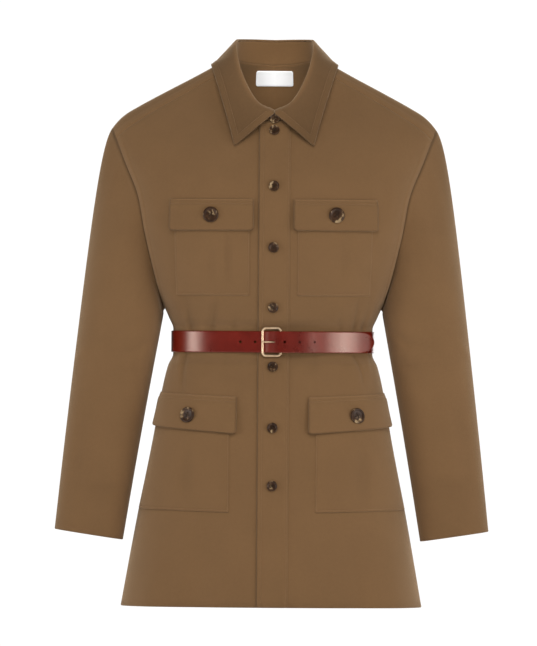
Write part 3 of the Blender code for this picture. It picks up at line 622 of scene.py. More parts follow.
@dataclass(frozen=True)
class Stitch:
    """Lockstitches in thread, as raised grains in a row."""

    length: float = 0.0026
    pitch: float = 0.0033
    half_width: float = 0.00024
    height: float = 0.00028
    waist: float = 0.3
    twist: float = 0.1

    def grain(self) -> Block:
        """One stitch along X, with Z away from the cloth.

        Returns:
            Its points and faces.
        """
        half, waist = self.length / 2, self.length * self.waist
        wide, high = self.half_width, self.height
        ring = ((-wide, 0.0), (0.0, high), (wide, 0.0), (0.0, -high / 2))
        shape = [(-half, 0.0, 0.0)]
        for run in (-waist, waist):
            shape += [(run, side, rise) for side, rise in ring]
        shape.append((half, 0.0, 0.0))
        count = len(ring)
        near, far, last = 1, 1 + count, 1 + 2 * count
        sides = [(i, (i + 1) % count) for i in range(count)]
        faces = [(0, near + a, near + b) for a, b in sides]
        faces += [(last, far + b, far + a) for a, b in sides]
        faces += [(near + a, far + a, far + b, near + b) for a, b in sides]
        return np.array(shape), faces

    def rows(self, runs: Sequence[Run]) -> list[Block]:
        """Lay stitches end to end.

        Args:
            runs: points and outward normals of each row of stitches.
        Returns:
            Points and faces of each stitch.
        """
        shape, faces = self.grain()
        blocks = []
        for line, normals in runs:
            total = lengths(line)[-1]
            count = max(2, int(total / self.pitch))
            places = (np.arange(count) + 0.5) * total / count
            out = unit(read(lengths(line), normals, places))
            run = unit(along(line, places + self.length / 2) - along(line, places - self.length / 2))
            run = unit(run + np.cross(out, run) * self.twist)
            frames = np.stack([run, np.cross(out, run), out], axis=1)
            grains = along(line, places)[:, None] + np.einsum("ij,njk->nik", shape, frames)
            blocks += [(grain, faces) for grain in grains]
        return blocks

    def sew(self, name: str, runs: Sequence[Run], thread: Material) -> None:
        """Sew runs as one piece and attach it to the coat's body."""
        deliver(add_object(name, joined(name, self.rows(runs)), thread), Slot.CLOTH)


@dataclass(frozen=True)
class BodyForm:
    """The coat's body as a surface: sections, shoulder ridge, neck, armholes and creases."""

    hem: float = -0.783
    armpit: float = -0.36
    front_neck: float = -0.092
    back_neck: float = -0.009
    shoulder_inner: float = 0.0015
    neck_half: float = 0.062
    front_round: float = 0.15
    back_round: float = 0.13
    stand_edge: float = 0.014
    stand_drop: float = 0.0012
    stand_step: float = 0.01
    shoulder_seam: float = 0.94
    seam_angle: float = math.radians(80)
    fine: int = 400
    parts: int = 5
    narrow: float = 9.0
    crease_full: float = 0.0024
    fold_power: float = 1.5
    tip_clear: float = 0.012
    tip_fade: float = 0.03
    sections: tuple[Section, ...] = (
        Section(-0.783, 0.215, 0.138, 0.138, 2.5),
        Section(-0.66, 0.193, 0.13, 0.132, 2.6),
        Section(-0.545, 0.1705, 0.118, 0.12, 2.8),
        Section(-0.48, 0.159, 0.104, 0.104, 2.8),
        Section(-0.44, 0.1495, 0.094, 0.091, 2.8),
        Section(-0.424, 0.1425, 0.086, 0.081, 2.7),
        Section(-0.388, 0.1425, 0.086, 0.081, 2.7),
        Section(-0.372, 0.1487, 0.094, 0.09, 2.7),
        Section(-0.32, 0.172, 0.106, 0.1, 2.9),
        Section(-0.25, 0.192, 0.113, 0.107, 3.0),
        Section(-0.18, 0.208, 0.103, 0.109, 3.0),
        Section(-0.14, 0.223, 0.089, 0.108, 3.0),
        Section(-0.092, 0.238, 0.068, 0.104, 3.0),
        Section(-0.05, 0.24, 0.052, 0.096, 3.0),
        Section(0.04, 0.24, 0.04, 0.08, 3.0),
    )
    ridge: Points = (
        (0.000, 0.036), (0.062, 0.0015), (0.112, -0.0265), (0.154, -0.0487),
        (0.196, -0.0717), (0.214, -0.083), (0.231, -0.101), (0.245, -0.129),
    )
    armhole: Points = (
        (-0.36, 0.1545), (-0.321, 0.1665), (-0.25, 0.1835),
        (-0.201, 0.1925), (-0.149, 0.2125), (-0.101, 0.231),
    )
    lower_rows: Floats = (
        -0.735, -0.69, -0.645, -0.6, -0.56, -0.525, -0.496, -0.47, -0.452, -0.438, -0.424,
        -0.388, -0.376)
    chest_rows: int = 8
    neck_rows: int = 6
    back_rows: Floats = (
        -0.325, -0.28, -0.235, -0.19, -0.15, -0.115, -0.082, -0.052, -0.028, -0.009)
    back_neck_angles: Floats = (0, 25, 50, 72, 90)
    back_steps: Floats = (
        0, 0.08, 0.17, 0.26, 0.35, 0.44, 0.53, 0.61, 0.69, 0.76, 0.82, 0.88, 0.93, 0.975, 1.0)
    ridge_steps: Floats = (1.0, 0.99, 0.97)
    folds: tuple[Fold, ...] = (
        Fold(Face.FRONT, -1, 40, 7, -0.424, -0.52, 0.003),
        Fold(Face.FRONT, 1, 44, 7, -0.424, -0.515, 0.0028),
        Fold(Face.FRONT, -1, 18, 6, -0.424, -0.48, 0.0016),
        Fold(Face.FRONT, 1, 22, 6, -0.424, -0.485, 0.0016),
        Fold(Face.FRONT, -1, 30, 7, -0.33, -0.388, 0.0024),
        Fold(Face.FRONT, 1, 34, 7, -0.335, -0.388, 0.0022),
        Fold(Face.FRONT, -1, 52, 7, -0.32, -0.388, 0.0026),
        Fold(Face.FRONT, 1, 56, 7, -0.325, -0.388, 0.0024),
        Fold(Face.BACK, 0, 16, 6, -0.27, -0.388, 0.0032),
        Fold(Face.BACK, 0, 38, 7, -0.3, -0.388, 0.0028),
        Fold(Face.BACK, 0, 24, 7, -0.424, -0.54, 0.0032),
        Fold(Face.BACK, 0, 48, 7, -0.424, -0.52, 0.003),
    )
    front_creases: tuple[Crease, ...] = (
        Crease(4.5, ((-132, -426.5, -2.4), (-135.5, -452, -2.2), (-133, -488, 0)), 0.3),
        Crease(6, ((-143, -428, 1.2), (-144, -475, 0))),
        Crease(4, ((-87, -386, -2.2), (-84, -362, -1.4), (-80, -336, 0)), 0.2),
        Crease(4.5, ((-122, -386, -2.4), (-127, -360, -1.4), (-132, -328, 0)), -0.2),
        Crease(6, ((-104, -386, 1), (-105, -348, 0))),
        Crease(3.5, ((-55, -386, -1.3), (-53, -360, 0))),
        Crease(4, ((121, -386, -2.4), (125, -362, -1.5), (128, -334, 0)), 0.2),
        Crease(4.5, ((138, -386, -2.2), (143, -360, -1.2), (150, -326, 0)), 0.2),
        Crease(3.5, ((98, -386, -1.5), (96, -356, 0))),
        Crease(3.2, ((122, -426.5, -1.9), (133, -447, -1.6), (138, -481, 0)), -0.5),
        Crease(6, ((146, -430, 1.2), (148, -472, 0))),
        Crease(4, ((60, -426.5, -0.9), (63, -452, 0))),
        Crease(4, ((-66, -426.5, -0.8), (-68, -446, 0))),
        Crease(22, ((-92, -640, 0), (-100, -710, -2.2), (-108, -783, -4)), 0.2),
        Crease(24, ((110, -660, 0), (118, -720, -2), (124, -783, -3.6)), -0.2),
        Crease(26, ((-158, -650, 0), (-176, -783, 3.4))),
        Crease(26, ((168, -655, 0), (184, -783, 3))),
        Crease(8, ((164, -332, 0), (140, -318, -1.2), (112, -306, 0)), 0.2),
        Crease(8, ((-162, -338, 0), (-136, -326, -1.1), (-106, -318, 0)), 0.2),
        Crease(12, ((158, -150, 0), (157, -200, -1.4), (150, -275, 0))),
        Crease(13, ((-160, -165, 0), (-158, -215, -1.2), (-150, -285, 0))),
    )
    back_creases: tuple[Crease, ...] = (
        Crease(6, ((28, -386, -2.8), (32, -340, -1.8), (42, -278, 0)), 0.2),
        Crease(5.5, ((-36, -386, -2.6), (-40, -350, -1.6), (-53, -292, 0)), -0.2),
        Crease(6, ((84, -386, -2.2), (91, -345, -1.2), (104, -302, 0)), 0.2),
        Crease(5, ((-89, -386, -2.4), (-93, -352, -1.2), (-101, -316, 0))),
        Crease(7, ((2, -386, -1.4), (0, -352, 0))),
        Crease(7, ((48, -426.5, -2.6), (54, -470, -1.6), (64, -545, 0)), 0.2),
        Crease(6.5, ((-40, -426.5, -2.4), (-46, -465, -1.4), (-56, -522, 0)), -0.2),
        Crease(6, ((112, -426.5, -2.2), (120, -470, -1.2), (132, -528, 0)), 0.2),
        Crease(6, ((-106, -426.5, -2.2), (-116, -474, -1.2), (-128, -540, 0))),
        Crease(15, ((132, -130, 0), (126, -190, -2), (110, -268, 0))),
        Crease(14, ((-136, -120, 0), (-128, -180, -1.8), (-116, -248, 0))),
        Crease(30, ((85, -600, 0), (96, -700, -2.6), (106, -783, -5))),
        Crease(28, ((-70, -580, 0), (-80, -690, -2.4), (-88, -783, -4.6))),
        Crease(30, ((4, -620, 0), (8, -783, 4))),
    )

    def ridge_height(self, x: Array) -> Array:
        """Height of the shoulder ridge at a distance from the middle."""
        return table_at(self.ridge, np.abs(x))[0]

    def half_width(self, height: float) -> float:
        """Half the width of the body at a height."""
        return float(table_at(self.sections, height)[0])

    def creases(self, face: Face) -> tuple[Crease, ...]:
        """Creases of a face."""
        return self.front_creases if face is Face.FRONT else self.back_creases

    def shade(self, push: Array) -> Array:
        """Painted shade in troughs and painted light on ridges, by how far creases push."""
        return np.clip(push / self.crease_full, -1.0, 1.0)

    def below_tip(self, height: Array) -> Array:
        """0 at the shoulder tip, rising to 1 below it."""
        return ease((self.armhole[-1][0] - self.tip_clear - height) / self.tip_fade)

    def row(self, face: Face, start: Point, end: Point, follow: float = 0.0) -> Array:
        """Fine points on the body from start to end, given as (x, z) of the front view.

        Args:
            face: side of the body.
            start: where the row begins, nearer the middle.
            end: where it ends, nearer the side.
            follow: 0 for a row that leaves the middle level, 1 for one that keeps to the shoulder ridge.
        Returns:
            The row's points.
        """
        sweep = np.sin(np.linspace(0, math.pi / 2, self.fine))
        x = start[0] + (end[0] - start[0]) * sweep
        level = start[1] + (end[1] - start[1]) * sweep ** 2
        below = self.ridge_height(start[0]) - start[1]
        below = below + (self.ridge_height(end[0]) - end[1] - below) * sweep
        z = level + (self.ridge_height(x) - below - level) * follow
        front = face is Face.FRONT
        half_width, front_depth, back_depth, power = table_at(self.sections, z)
        depth = front_depth if front else back_depth
        across = np.clip(np.abs(x) / half_width, 0, 1)
        swell = (1 - across ** power) ** (1 / power)
        drop = np.clip((self.ridge_height(x) - z) / (self.front_round if front else self.back_round), 0, 1)
        y = face.value * depth * swell * np.sqrt(1 - (1 - drop) ** 2)
        side = math.copysign(1.0, end[0] - start[0])
        reach = start[0] + side * lengths(np.stack([x, y], axis=1))
        turn = np.degrees(np.arctan2(across, swell))
        push = crease_push(self.creases(face), reach, z)
        for fold in self.folds:
            if fold.face is face:
                here = np.where(np.sign(x) == -fold.side, 0.0, 1.0) if fold.side else 1.0
                share = np.clip((fold.top - z) / (fold.top - fold.bottom), 0, 1)
                run = np.sin(math.pi * share) ** self.fold_power
                push += here * fold.depth * run * bell(turn - fold.turn, fold.width)
        normal_x = np.sign(x) * across ** (power - 1) / half_width
        normal_y = face.value * swell ** (power - 1) / depth
        size = np.hypot(normal_x, normal_y)
        return np.stack([x + push * normal_x / size, y + push * normal_y / size, z], axis=1)

    def painted_crease_shading(self, face: Face, reach: Array, height: Array) -> Array:
        """Painted shade in the narrow troughs of a face and painted light on its ridges."""
        narrow = [crease for crease in self.creases(face) if crease.width < self.narrow]
        return self.shade(crease_push(narrow, reach, height))

    def spot(self, face: Face, place: Point) -> Array:
        """Point of the body at a place of the front view."""
        return self.row(face, place, (place[0] + SHORT_ROW, place[1]))[0]

    def neckline(self, face: Face, x: float) -> float:
        """Height of the neck seam.

        Args:
            face: side of the body.
            x: distance from the middle.
        Returns:
            The height there.
        """
        low = self.front_neck if face is Face.FRONT else self.back_neck
        level = self.stand_edge if face is Face.FRONT else 0.0
        share = min(max(abs(x), level) / self.neck_half, 1.0)
        return self.shoulder_inner - (self.shoulder_inner - low) * math.sqrt(1 - share ** 2)

    def neck_point(self, face: Face, angle: float) -> Point:
        """Point of the neck seam in the front view, angle 0 in the middle and 90 degrees at the ridge."""
        x = self.neck_half * math.sin(angle)
        return x, self.neckline(face, x)

    def armhole_path(self) -> Array:
        """Armhole seam in the front view from the armpit to the shoulder tip."""
        z = np.linspace(self.armhole[0][0], self.armhole[-1][0], self.fine)
        return np.stack([table_at(self.armhole, z)[0], z], axis=1)

    def lower_lines(self, inner: float) -> list[Line]:
        """Rows from the hem to the armpit, from a distance to the side seam."""
        heights = spread((self.hem, *self.lower_rows, self.armpit), self.parts)
        return [Line((inner, z), (self.half_width(z), z), 0.0) for z in heights]

    def upper_lines(self, starts: Sequence[Point], steps: Sequence[float]) -> list[Line]:
        """Rows that end at the armhole seam.

        Args:
            starts: where the rows begin.
            steps: where they end, 0 at the armpit and 1 at the tip.
        Returns:
            The rows.
        """
        path = self.armhole_path()
        ends = along(path, np.asarray(steps) * lengths(path)[-1])
        return [Line(start, tuple(end), step ** 2) for start, end, step in zip(starts, ends, steps)]

    def front_lines(self, inner: float) -> list[Line]:
        """Rows of a front from the armpit up to the shoulder seam.

        Args:
            inner: where the panel begins, below 0 for the front that runs under the band.
        Returns:
            The rows, the armpit's own row left out.
        """
        first = math.asin(self.stand_edge / self.neck_half)
        chest, neck = self.chest_rows * self.parts, self.neck_rows * self.parts
        steps = np.linspace(0, self.shoulder_seam, chest + neck + 1)
        top = self.neckline(Face.FRONT, inner) - (self.stand_drop if inner < 0 else 0.0)
        starts = [(inner, z) for z in np.linspace(self.armpit, top, chest + 1)]
        if inner < 0:
            corner = np.linspace(steps[chest] - self.stand_step, steps[chest], self.parts + 1)
            steps = np.concatenate([np.linspace(0, corner[0], chest + 1), corner[1:], steps[chest + 1:]])
            for share in np.linspace(0, 1, self.parts + 1)[1:]:
                x = inner + (self.stand_edge - inner) * share
                starts.append((x, self.neckline(Face.FRONT, x) - self.stand_drop * (1 - share)))
        angles = np.linspace(first, self.seam_angle, neck + 1)[1:]
        starts += [self.neck_point(Face.FRONT, angle) for angle in angles]
        return self.upper_lines(starts, steps)[1:]

    def back_lines(self) -> list[Line]:
        """Rows of the back above the armpit.

        Returns:
            The rows, up to the shoulder ridge.
        """
        starts = [(0.0, z) for z in spread((self.armpit, *self.back_rows), self.parts)]
        angles = np.radians(spread(self.back_neck_angles, self.parts))[1:]
        starts += [self.neck_point(Face.BACK, angle) for angle in angles]
        return self.upper_lines(starts, spread(self.back_steps, self.parts))[1:]

    def ridge_lines(self) -> list[Line]:
        """Rows of the back that come over the ridge.

        Returns:
            The rows, down to the forward shoulder seam.
        """
        seam = self.shoulder_seam + SEAM_GAP / lengths(self.armhole_path())[-1]
        steps = spread((*self.ridge_steps, seam), self.parts)[1:]
        share = (1 - steps) / (1 - self.shoulder_seam)
        angles = math.pi / 2 - share * (math.pi / 2 - self.seam_angle)
        return self.upper_lines([self.neck_point(Face.FRONT, angle) for angle in angles], steps)

    def panel(self, face: Face, lines: Sequence[Line], shares: Array, inner_trim: float) -> Array:
        """Grid of a panel, held clear of its seams.

        Args:
            face: side of the body.
            lines: the panel's rows.
            shares: places of the columns along each row, 0 to 1.
            inner_trim: how far the rows' first ends keep clear.
        Returns:
            The grid of points.
        """
        grid = []
        for line in lines:
            row = self.row(face, *line)
            grid.append(along(row, inner_trim + shares * (lengths(row)[-1] - inner_trim - SEAM_GAP / 2)))
        return np.array(grid)

    def lattice(self, side: int, across: Array, heights: Array) -> Array:
        """Lay points on a front.

        Args:
            side: 1 for the wearer's left.
            across: distance of each point from the middle.
            heights: height of each point.
        Returns:
            The points.
        """
        levels = np.linspace(heights.min(), heights.max(), 2 * len(heights))
        rows = [self.row(Face.FRONT, (0.0, z), (side * self.half_width(z), z)) for z in levels]
        stack = np.array([along(row, across.ravel()) for row in rows])
        place = index_of(levels, heights.ravel())
        first = np.minimum(place.astype(int), len(levels) - 2)
        part = (place - first)[:, None]
        column = np.arange(len(first))
        points = stack[first, column] * (1 - part) + stack[first + 1, column] * part
        return points.reshape(*across.shape, 3)


@dataclass
class Panels:
    """Back, fronts and buttonhole band, with the seam allowance raised along the armholes."""

    form: BodyForm
    cloth: Material
    thread: Material
    front_columns: int = 84
    back_columns: int = 74
    crowd: float = 1.35
    band: float = 0.008
    band_rise: float = 0.0006
    band_soft: float = 0.003
    painted_band_highlight: float = 0.45
    placket_left: float = -0.0207
    placket_right: float = 0.023
    placket_drop: float = 0.0024
    placket_step: float = 0.003
    placket_stitches: tuple[float, float] = (-0.0146, 0.0208)
    stitch_clear: float = 0.5
    stitch_points: int = 300
    top_bend: int = 12
    groove: float = 0.0004
    groove_width: float = 0.0007
    sewn_edge: float = 0.004
    sewn_sink: float = 0.0015
    edge_line: float = 0.0012
    painted_edge_shadow: float = -2.2

    def shares(self, columns: int) -> Array:
        """Places of a panel's columns, closer together near the side."""
        return 1 - (1 - np.linspace(0, 1, columns)) ** self.crowd

    def raised(self, away: Array) -> Array:
        """How much of the band's rise there is at distances from a seam."""
        return ease((self.band + self.band_soft - away) / self.band_soft)

    def dress(self, name: str, grid: Array, both: bool, parted: Parting = None) -> None:
        """Raise the seam allowances, thicken a panel and attach it to the coat's body.

        Args:
            name: solid that the panel stands for.
            grid: points of its outer face.
            both: whether both ends of the rows are armholes.
            parted: where the panel parts at the neck, if it does.
        """
        normal = outward(grid)
        if parted:
            for half in (slice(None, parted[1] + 1), slice(parted[1] + 1, None)):
                normal[:, half] = outward(grid[:, half])
            seam = normal[:parted[0], parted[1]] + normal[:parted[0], parted[1] + 1]
            normal[:parted[0], parted[1]] = normal[:parted[0], parted[1] + 1] = unit(seam)
        across, up = edge_runs(grid)
        away = across[:, -1:] - across
        away = np.minimum(away, across) if both else away
        lower = len(self.form.lower_lines(0.0))
        above = ease((np.arange(len(grid)) - lower) / (2 * self.form.parts))[:, None]
        raised = above * self.raised(away) * self.form.below_tip(grid[:, -1:, 2])
        if parted:
            raised = np.maximum(raised, self.raised(up[-1:] - up))
        reach = across - across[:, parted[1]:parted[1] + 1] if parted else (
            grid[:, :1, 0] + np.sign(grid[:, -1:, 0]) * across)
        face = Face.BACK if parted else Face.FRONT
        # Painted highlight on the raised seam allowance, and painted shade and light along the creases.
        tone = raised * self.painted_band_highlight + self.form.painted_crease_shading(face, reach, grid[:, :, 2])
        outer = grid + normal * (raised * self.band_rise)[:, :, None]
        hang(name, Sheet(outer, grid - normal * CLOTH, tone=tone, parted=parted), self.cloth)

    def build(self) -> None:
        """Make the back, both fronts and the band."""
        form = self.form
        shares = self.shares(self.back_columns)
        lines = form.lower_lines(0.0) + form.back_lines()
        over = form.panel(Face.FRONT, form.ridge_lines(), shares, 0.0)
        left = np.concatenate([form.panel(Face.BACK, lines, shares, 0.0), over])
        right = form.panel(Face.BACK, [flipped(line) for line in lines], shares, 0.0)
        right = np.concatenate([right, mirrored(over, -1)])
        neck = sum(line.start[0] == 0.0 for line in lines)
        whole = np.concatenate([right[:, ::-1], left], axis=1)
        self.dress("back", whole, True, (neck, self.back_columns - 1))
        for name, side in (("front_right", -1), ("front_left", 1)):
            inner = side * form.stand_edge
            lines = form.lower_lines(inner) + form.front_lines(inner)
            lines = [flipped(line) for line in lines] if side < 0 else lines
            grid = form.panel(Face.FRONT, lines, self.shares(self.front_columns), SEAM_GAP / 2)
            self.dress(name, grid, False)
        self.build_placket()

    def build_placket(self) -> None:
        """Buttonhole band, free at one edge and sewn down at the other, with its stitches."""
        form = self.form
        lines = form.lower_lines(0.0) + form.front_lines(form.stand_edge)[:form.chest_rows * form.parts]
        heights = np.array([line.start[1] for line in lines])
        marks = (*self.placket_stitches, self.placket_left + self.edge_line)
        x = ruler(self.placket_left, self.placket_right, self.placket_step, marks)
        tops = np.array([form.neckline(Face.FRONT, place) for place in x]) - self.placket_drop
        ladder = (heights - heights[0]) / (heights[-1] - heights[0])
        levels = heights[:, None] + (tops - heights[-1])[None, :] * ladder[:, None] ** self.top_bend
        sides = [[form.row(Face.FRONT, (0.0, z), (reach, z)) for z in heights]
                 for reach in (-SHORT_ROW, SHORT_ROW)]
        grid = np.zeros((*levels.shape, 3))
        for column, place in enumerate(x):
            depth = [np.interp(abs(place), np.abs(row[:, 0]), row[:, 1]) for row in sides[int(place > 0)]]
            grid[:, column, 0] = place
            grid[:, column, 1] = np.interp(levels[:, column], heights, depth)
            grid[:, column, 2] = levels[:, column]
        normal = outward(grid)
        lift = LAY_GAP + CLOTH - self.sewn_sink * ease(1 - (self.placket_right - x) / self.sewn_edge)
        for mark in self.placket_stitches:
            lift = lift - self.groove * bell(x - mark, self.groove_width)
        # Painted shadow along the band's free edge.
        tone = self.painted_edge_shadow * ease(1 - (x - self.placket_left) / self.edge_line)
        tone = np.broadcast_to(tone, levels.shape)
        sheet = Sheet(grid + normal * lift[None, :, None], grid + normal * LAY_GAP / 2, tone=tone)
        hang("placket", sheet, self.cloth)
        rows = np.linspace(self.stitch_clear, len(heights) - 1 - self.stitch_clear, self.stitch_points)
        runs = [sheet.trace(rows, index_of(x, mark)) for mark in self.placket_stitches]
        Stitch().sew("placket_stitches", runs, self.thread)


@dataclass
class Sleeves:
    """Both sleeves, from the armhole seam to the wrist."""

    form: BodyForm
    cloth: Material
    rings: tuple[Ring, ...] = (
        Ring(0.00, 0.217, 0.002, -0.37, 0.059, 0.06),
        Ring(0.35, 0.233, -0.003, -0.478, 0.0555, 0.051),
        Ring(0.7, 0.2482, -0.013, -0.586, 0.0522, 0.043),
        Ring(1.00, 0.261, -0.024, -0.6815, 0.0494, 0.037),
    )
    tilt: float = math.radians(8.6)
    squareness: float = 2.5
    armhole_run: float = 0.004
    underarm_run: tuple[float, float, float] = (0.6, 0.0, -0.8)
    cap_round: float = 0.022
    underarm_round: float = 0.003
    cap_pull: float = 0.68
    cap_power: float = 1.5
    cap_crowd: float = 1.3
    cap_aim: float = 0.2
    cap_rings: int = 48
    arm_rings: int = 60
    mean_radius: float = 0.055
    valley: float = 0.001
    valley_at: float = 0.0024
    valley_width: float = 0.0028
    # Tone: painted shadow in the armhole valley, painted shade and light at the creases, a darker band
    # above the wrist, painted light on the inner side and painted shade on the outer side.
    painted_valley_shadow: float = -2.6
    painted_crease_shading: float = 0.5
    cuff_darkening: float = -0.35
    painted_inner_light: float = 2.5
    inner_from: float = 0.44
    painted_outer_shade: float = -0.5
    outer_to: float = 0.25
    inner_top: float = -0.3
    inner_fade: float = 0.1
    cuff_top: float = -0.596
    cuff_fade: float = 0.02
    creases: tuple[Crease, ...] = (
        Crease(7, ((-150, -385, 0), (-115, -405, -2), (-70, -415, 0)), 0.2),
        Crease(6, ((-160, -430, 0), (-120, -438, -1.6), (-85, -436, 0))),
        Crease(8, ((-60, -395, 0), (-30, -420, 1.4), (0, -432, 0))),
        Crease(7, ((-160, -350, -2), (-125, -310, -1.5), (-100, -260, 0)), 0.2),
        Crease(8, ((-135, -600, 0), (-90, -607, -1.4), (-40, -602, 0))),
        Crease(16, ((-62, -450, 0), (-58, -550, -1.6), (-55, -660, 0))),
        Crease(7, ((60, -400, 0), (100, -420, -2), (140, -410, 0))),
        Crease(7, ((70, -440, 0), (105, -452, -1.6), (150, -446, 0))),
        Crease(9, ((160, -350, -2.2), (120, -305, -1.6), (95, -240, 0))),
    )
    other_drop: float = 0.011
    other_depth: float = 0.85

    def armhole_loop(self) -> tuple[Array, Array]:
        """Armhole seam up the front, over the tip and down the back.

        Returns:
            The points, and the way the panel runs out at each of them.
        """
        form = self.form
        lines = form.lower_lines(form.stand_edge)[-1:] + form.front_lines(form.stand_edge)
        stops = [(Face.FRONT, line) for line in lines + form.ridge_lines()[-2::-1]]
        stops += [(Face.BACK, line) for line in reversed(form.back_lines())]
        points, runs = [], []
        for face, line in stops:
            row = form.row(face, *line)
            run = unit(row[-1] - along(row, [lengths(row)[-1] - self.armhole_run])[0])
            points.append(row[-1] + run * SEAM_GAP * (0.5 + line.follow))
            runs.append(run)
        runs[0] = np.array(self.underarm_run)
        points[0] = points[0] + runs[0] * SEAM_GAP
        return np.array(points), np.array(runs)

    def ring(self, share: float, angles: Array) -> Array:
        """Ring of the arm tube.

        Args:
            share: share of the tube's length.
            angles: angle of each point, 0 outermost, then to the back.
        Returns:
            The ring's points.
        """
        reach, depth_at, height, half_width, half_depth = table_at(self.rings, share)
        across, deep = (np.sign(wave) * np.abs(wave) ** (2 / self.squareness)
                        for wave in (np.cos(angles), np.sin(angles)))
        out = across * half_width
        x = reach + out * math.cos(self.tilt)
        z = height + out * math.sin(self.tilt)
        return np.stack([x, depth_at + deep * half_depth, z], axis=1)

    def grid(self) -> tuple[Array, Array]:
        """Lay out the left sleeve.

        Returns:
            Its rings from the armhole to the wrist, and the angle of each column.
        """
        start, runs = self.armhole_loop()
        run = lengths(np.vstack([start, start[:1]]))
        tip = int(np.argmax(start[:, 2]))
        angles = np.where(
            np.arange(len(start)) <= tip,
            -math.pi * (1 - run[:-1] / run[tip]),
            math.pi * (run[:-1] - run[tip]) / (run[-1] - run[tip]))
        upper = self.ring(0.0, angles)
        line = unit(upper - self.ring(self.cap_aim, angles))
        reach = np.linalg.norm(upper - start, axis=1, keepdims=True)
        blend = ((1 + np.cos(angles)) / 2)[:, None] ** self.cap_power
        first = start + runs * (self.underarm_round + (self.cap_round - self.underarm_round) * blend)
        second = upper + line * reach * self.cap_pull
        rings = []
        for t in np.linspace(0, 1, self.cap_rings + 1) ** self.cap_crowd:
            near = start * (1 - t) ** 3 + first * 3 * t * (1 - t) ** 2
            rings.append(near + second * 3 * t * t * (1 - t) + upper * t ** 3)
        rings += [self.ring(share, angles) for share in np.linspace(0, 1, self.arm_rings + 1)[1:]]
        return np.array(rings), angles

    def build(self) -> None:
        """Make both sleeves, each with its own creases."""
        plain, angles = self.grid()
        _, run = edge_runs(plain)
        middle = np.repeat(plain.mean(axis=1, keepdims=True), plain.shape[1], axis=1)
        normal = grid_normals(plain, middle, wrap=True)
        line = bell(run - self.valley_at, self.valley_width)
        low = self.form.below_tip(plain[:1, :, 2])
        girth = np.broadcast_to(angles * self.mean_radius, run.shape)
        # Darker below a height above the wrist.
        below_cuff = ease((self.cuff_top - plain[:, :, 2]) / self.cuff_fade)
        inward = np.abs(angles) / math.pi
        below = ease((self.inner_top - plain[:, :, 2]) / self.inner_fade)
        # Painted light on the inner side, which faces the body, and painted shade on the outer side.
        painted_side_shading = self.painted_inner_light * below * ease((inward - self.inner_from) / (1 - self.inner_from))
        painted_side_shading = painted_side_shading + self.painted_outer_shade * ease(1 - inward / self.outer_to)
        for name, side in (("sleeve_left", 1), ("sleeve_right", -1)):
            drop = self.other_drop if side < 0 else 0.0
            push = crease_push(self.creases, girth, plain[:, :, 2] + drop)
            push = push * (self.other_depth if side < 0 else 1.0)
            outer = plain + normal * (push - self.valley * line * low)[:, :, None]
            # Painted shade in crease troughs and painted light on their ridges, painted shadow along the
            # armhole valley, and a darker band above the wrist.
            tone = self.painted_crease_shading * self.form.shade(push)
            tone = tone + self.painted_valley_shadow * line + self.cuff_darkening * below_cuff + painted_side_shading
            inner = mirrored(outer - normal * CLOTH, side)
            hang(name, Sheet(mirrored(outer, side), inner, wrap=True, tone=tone), self.cloth)


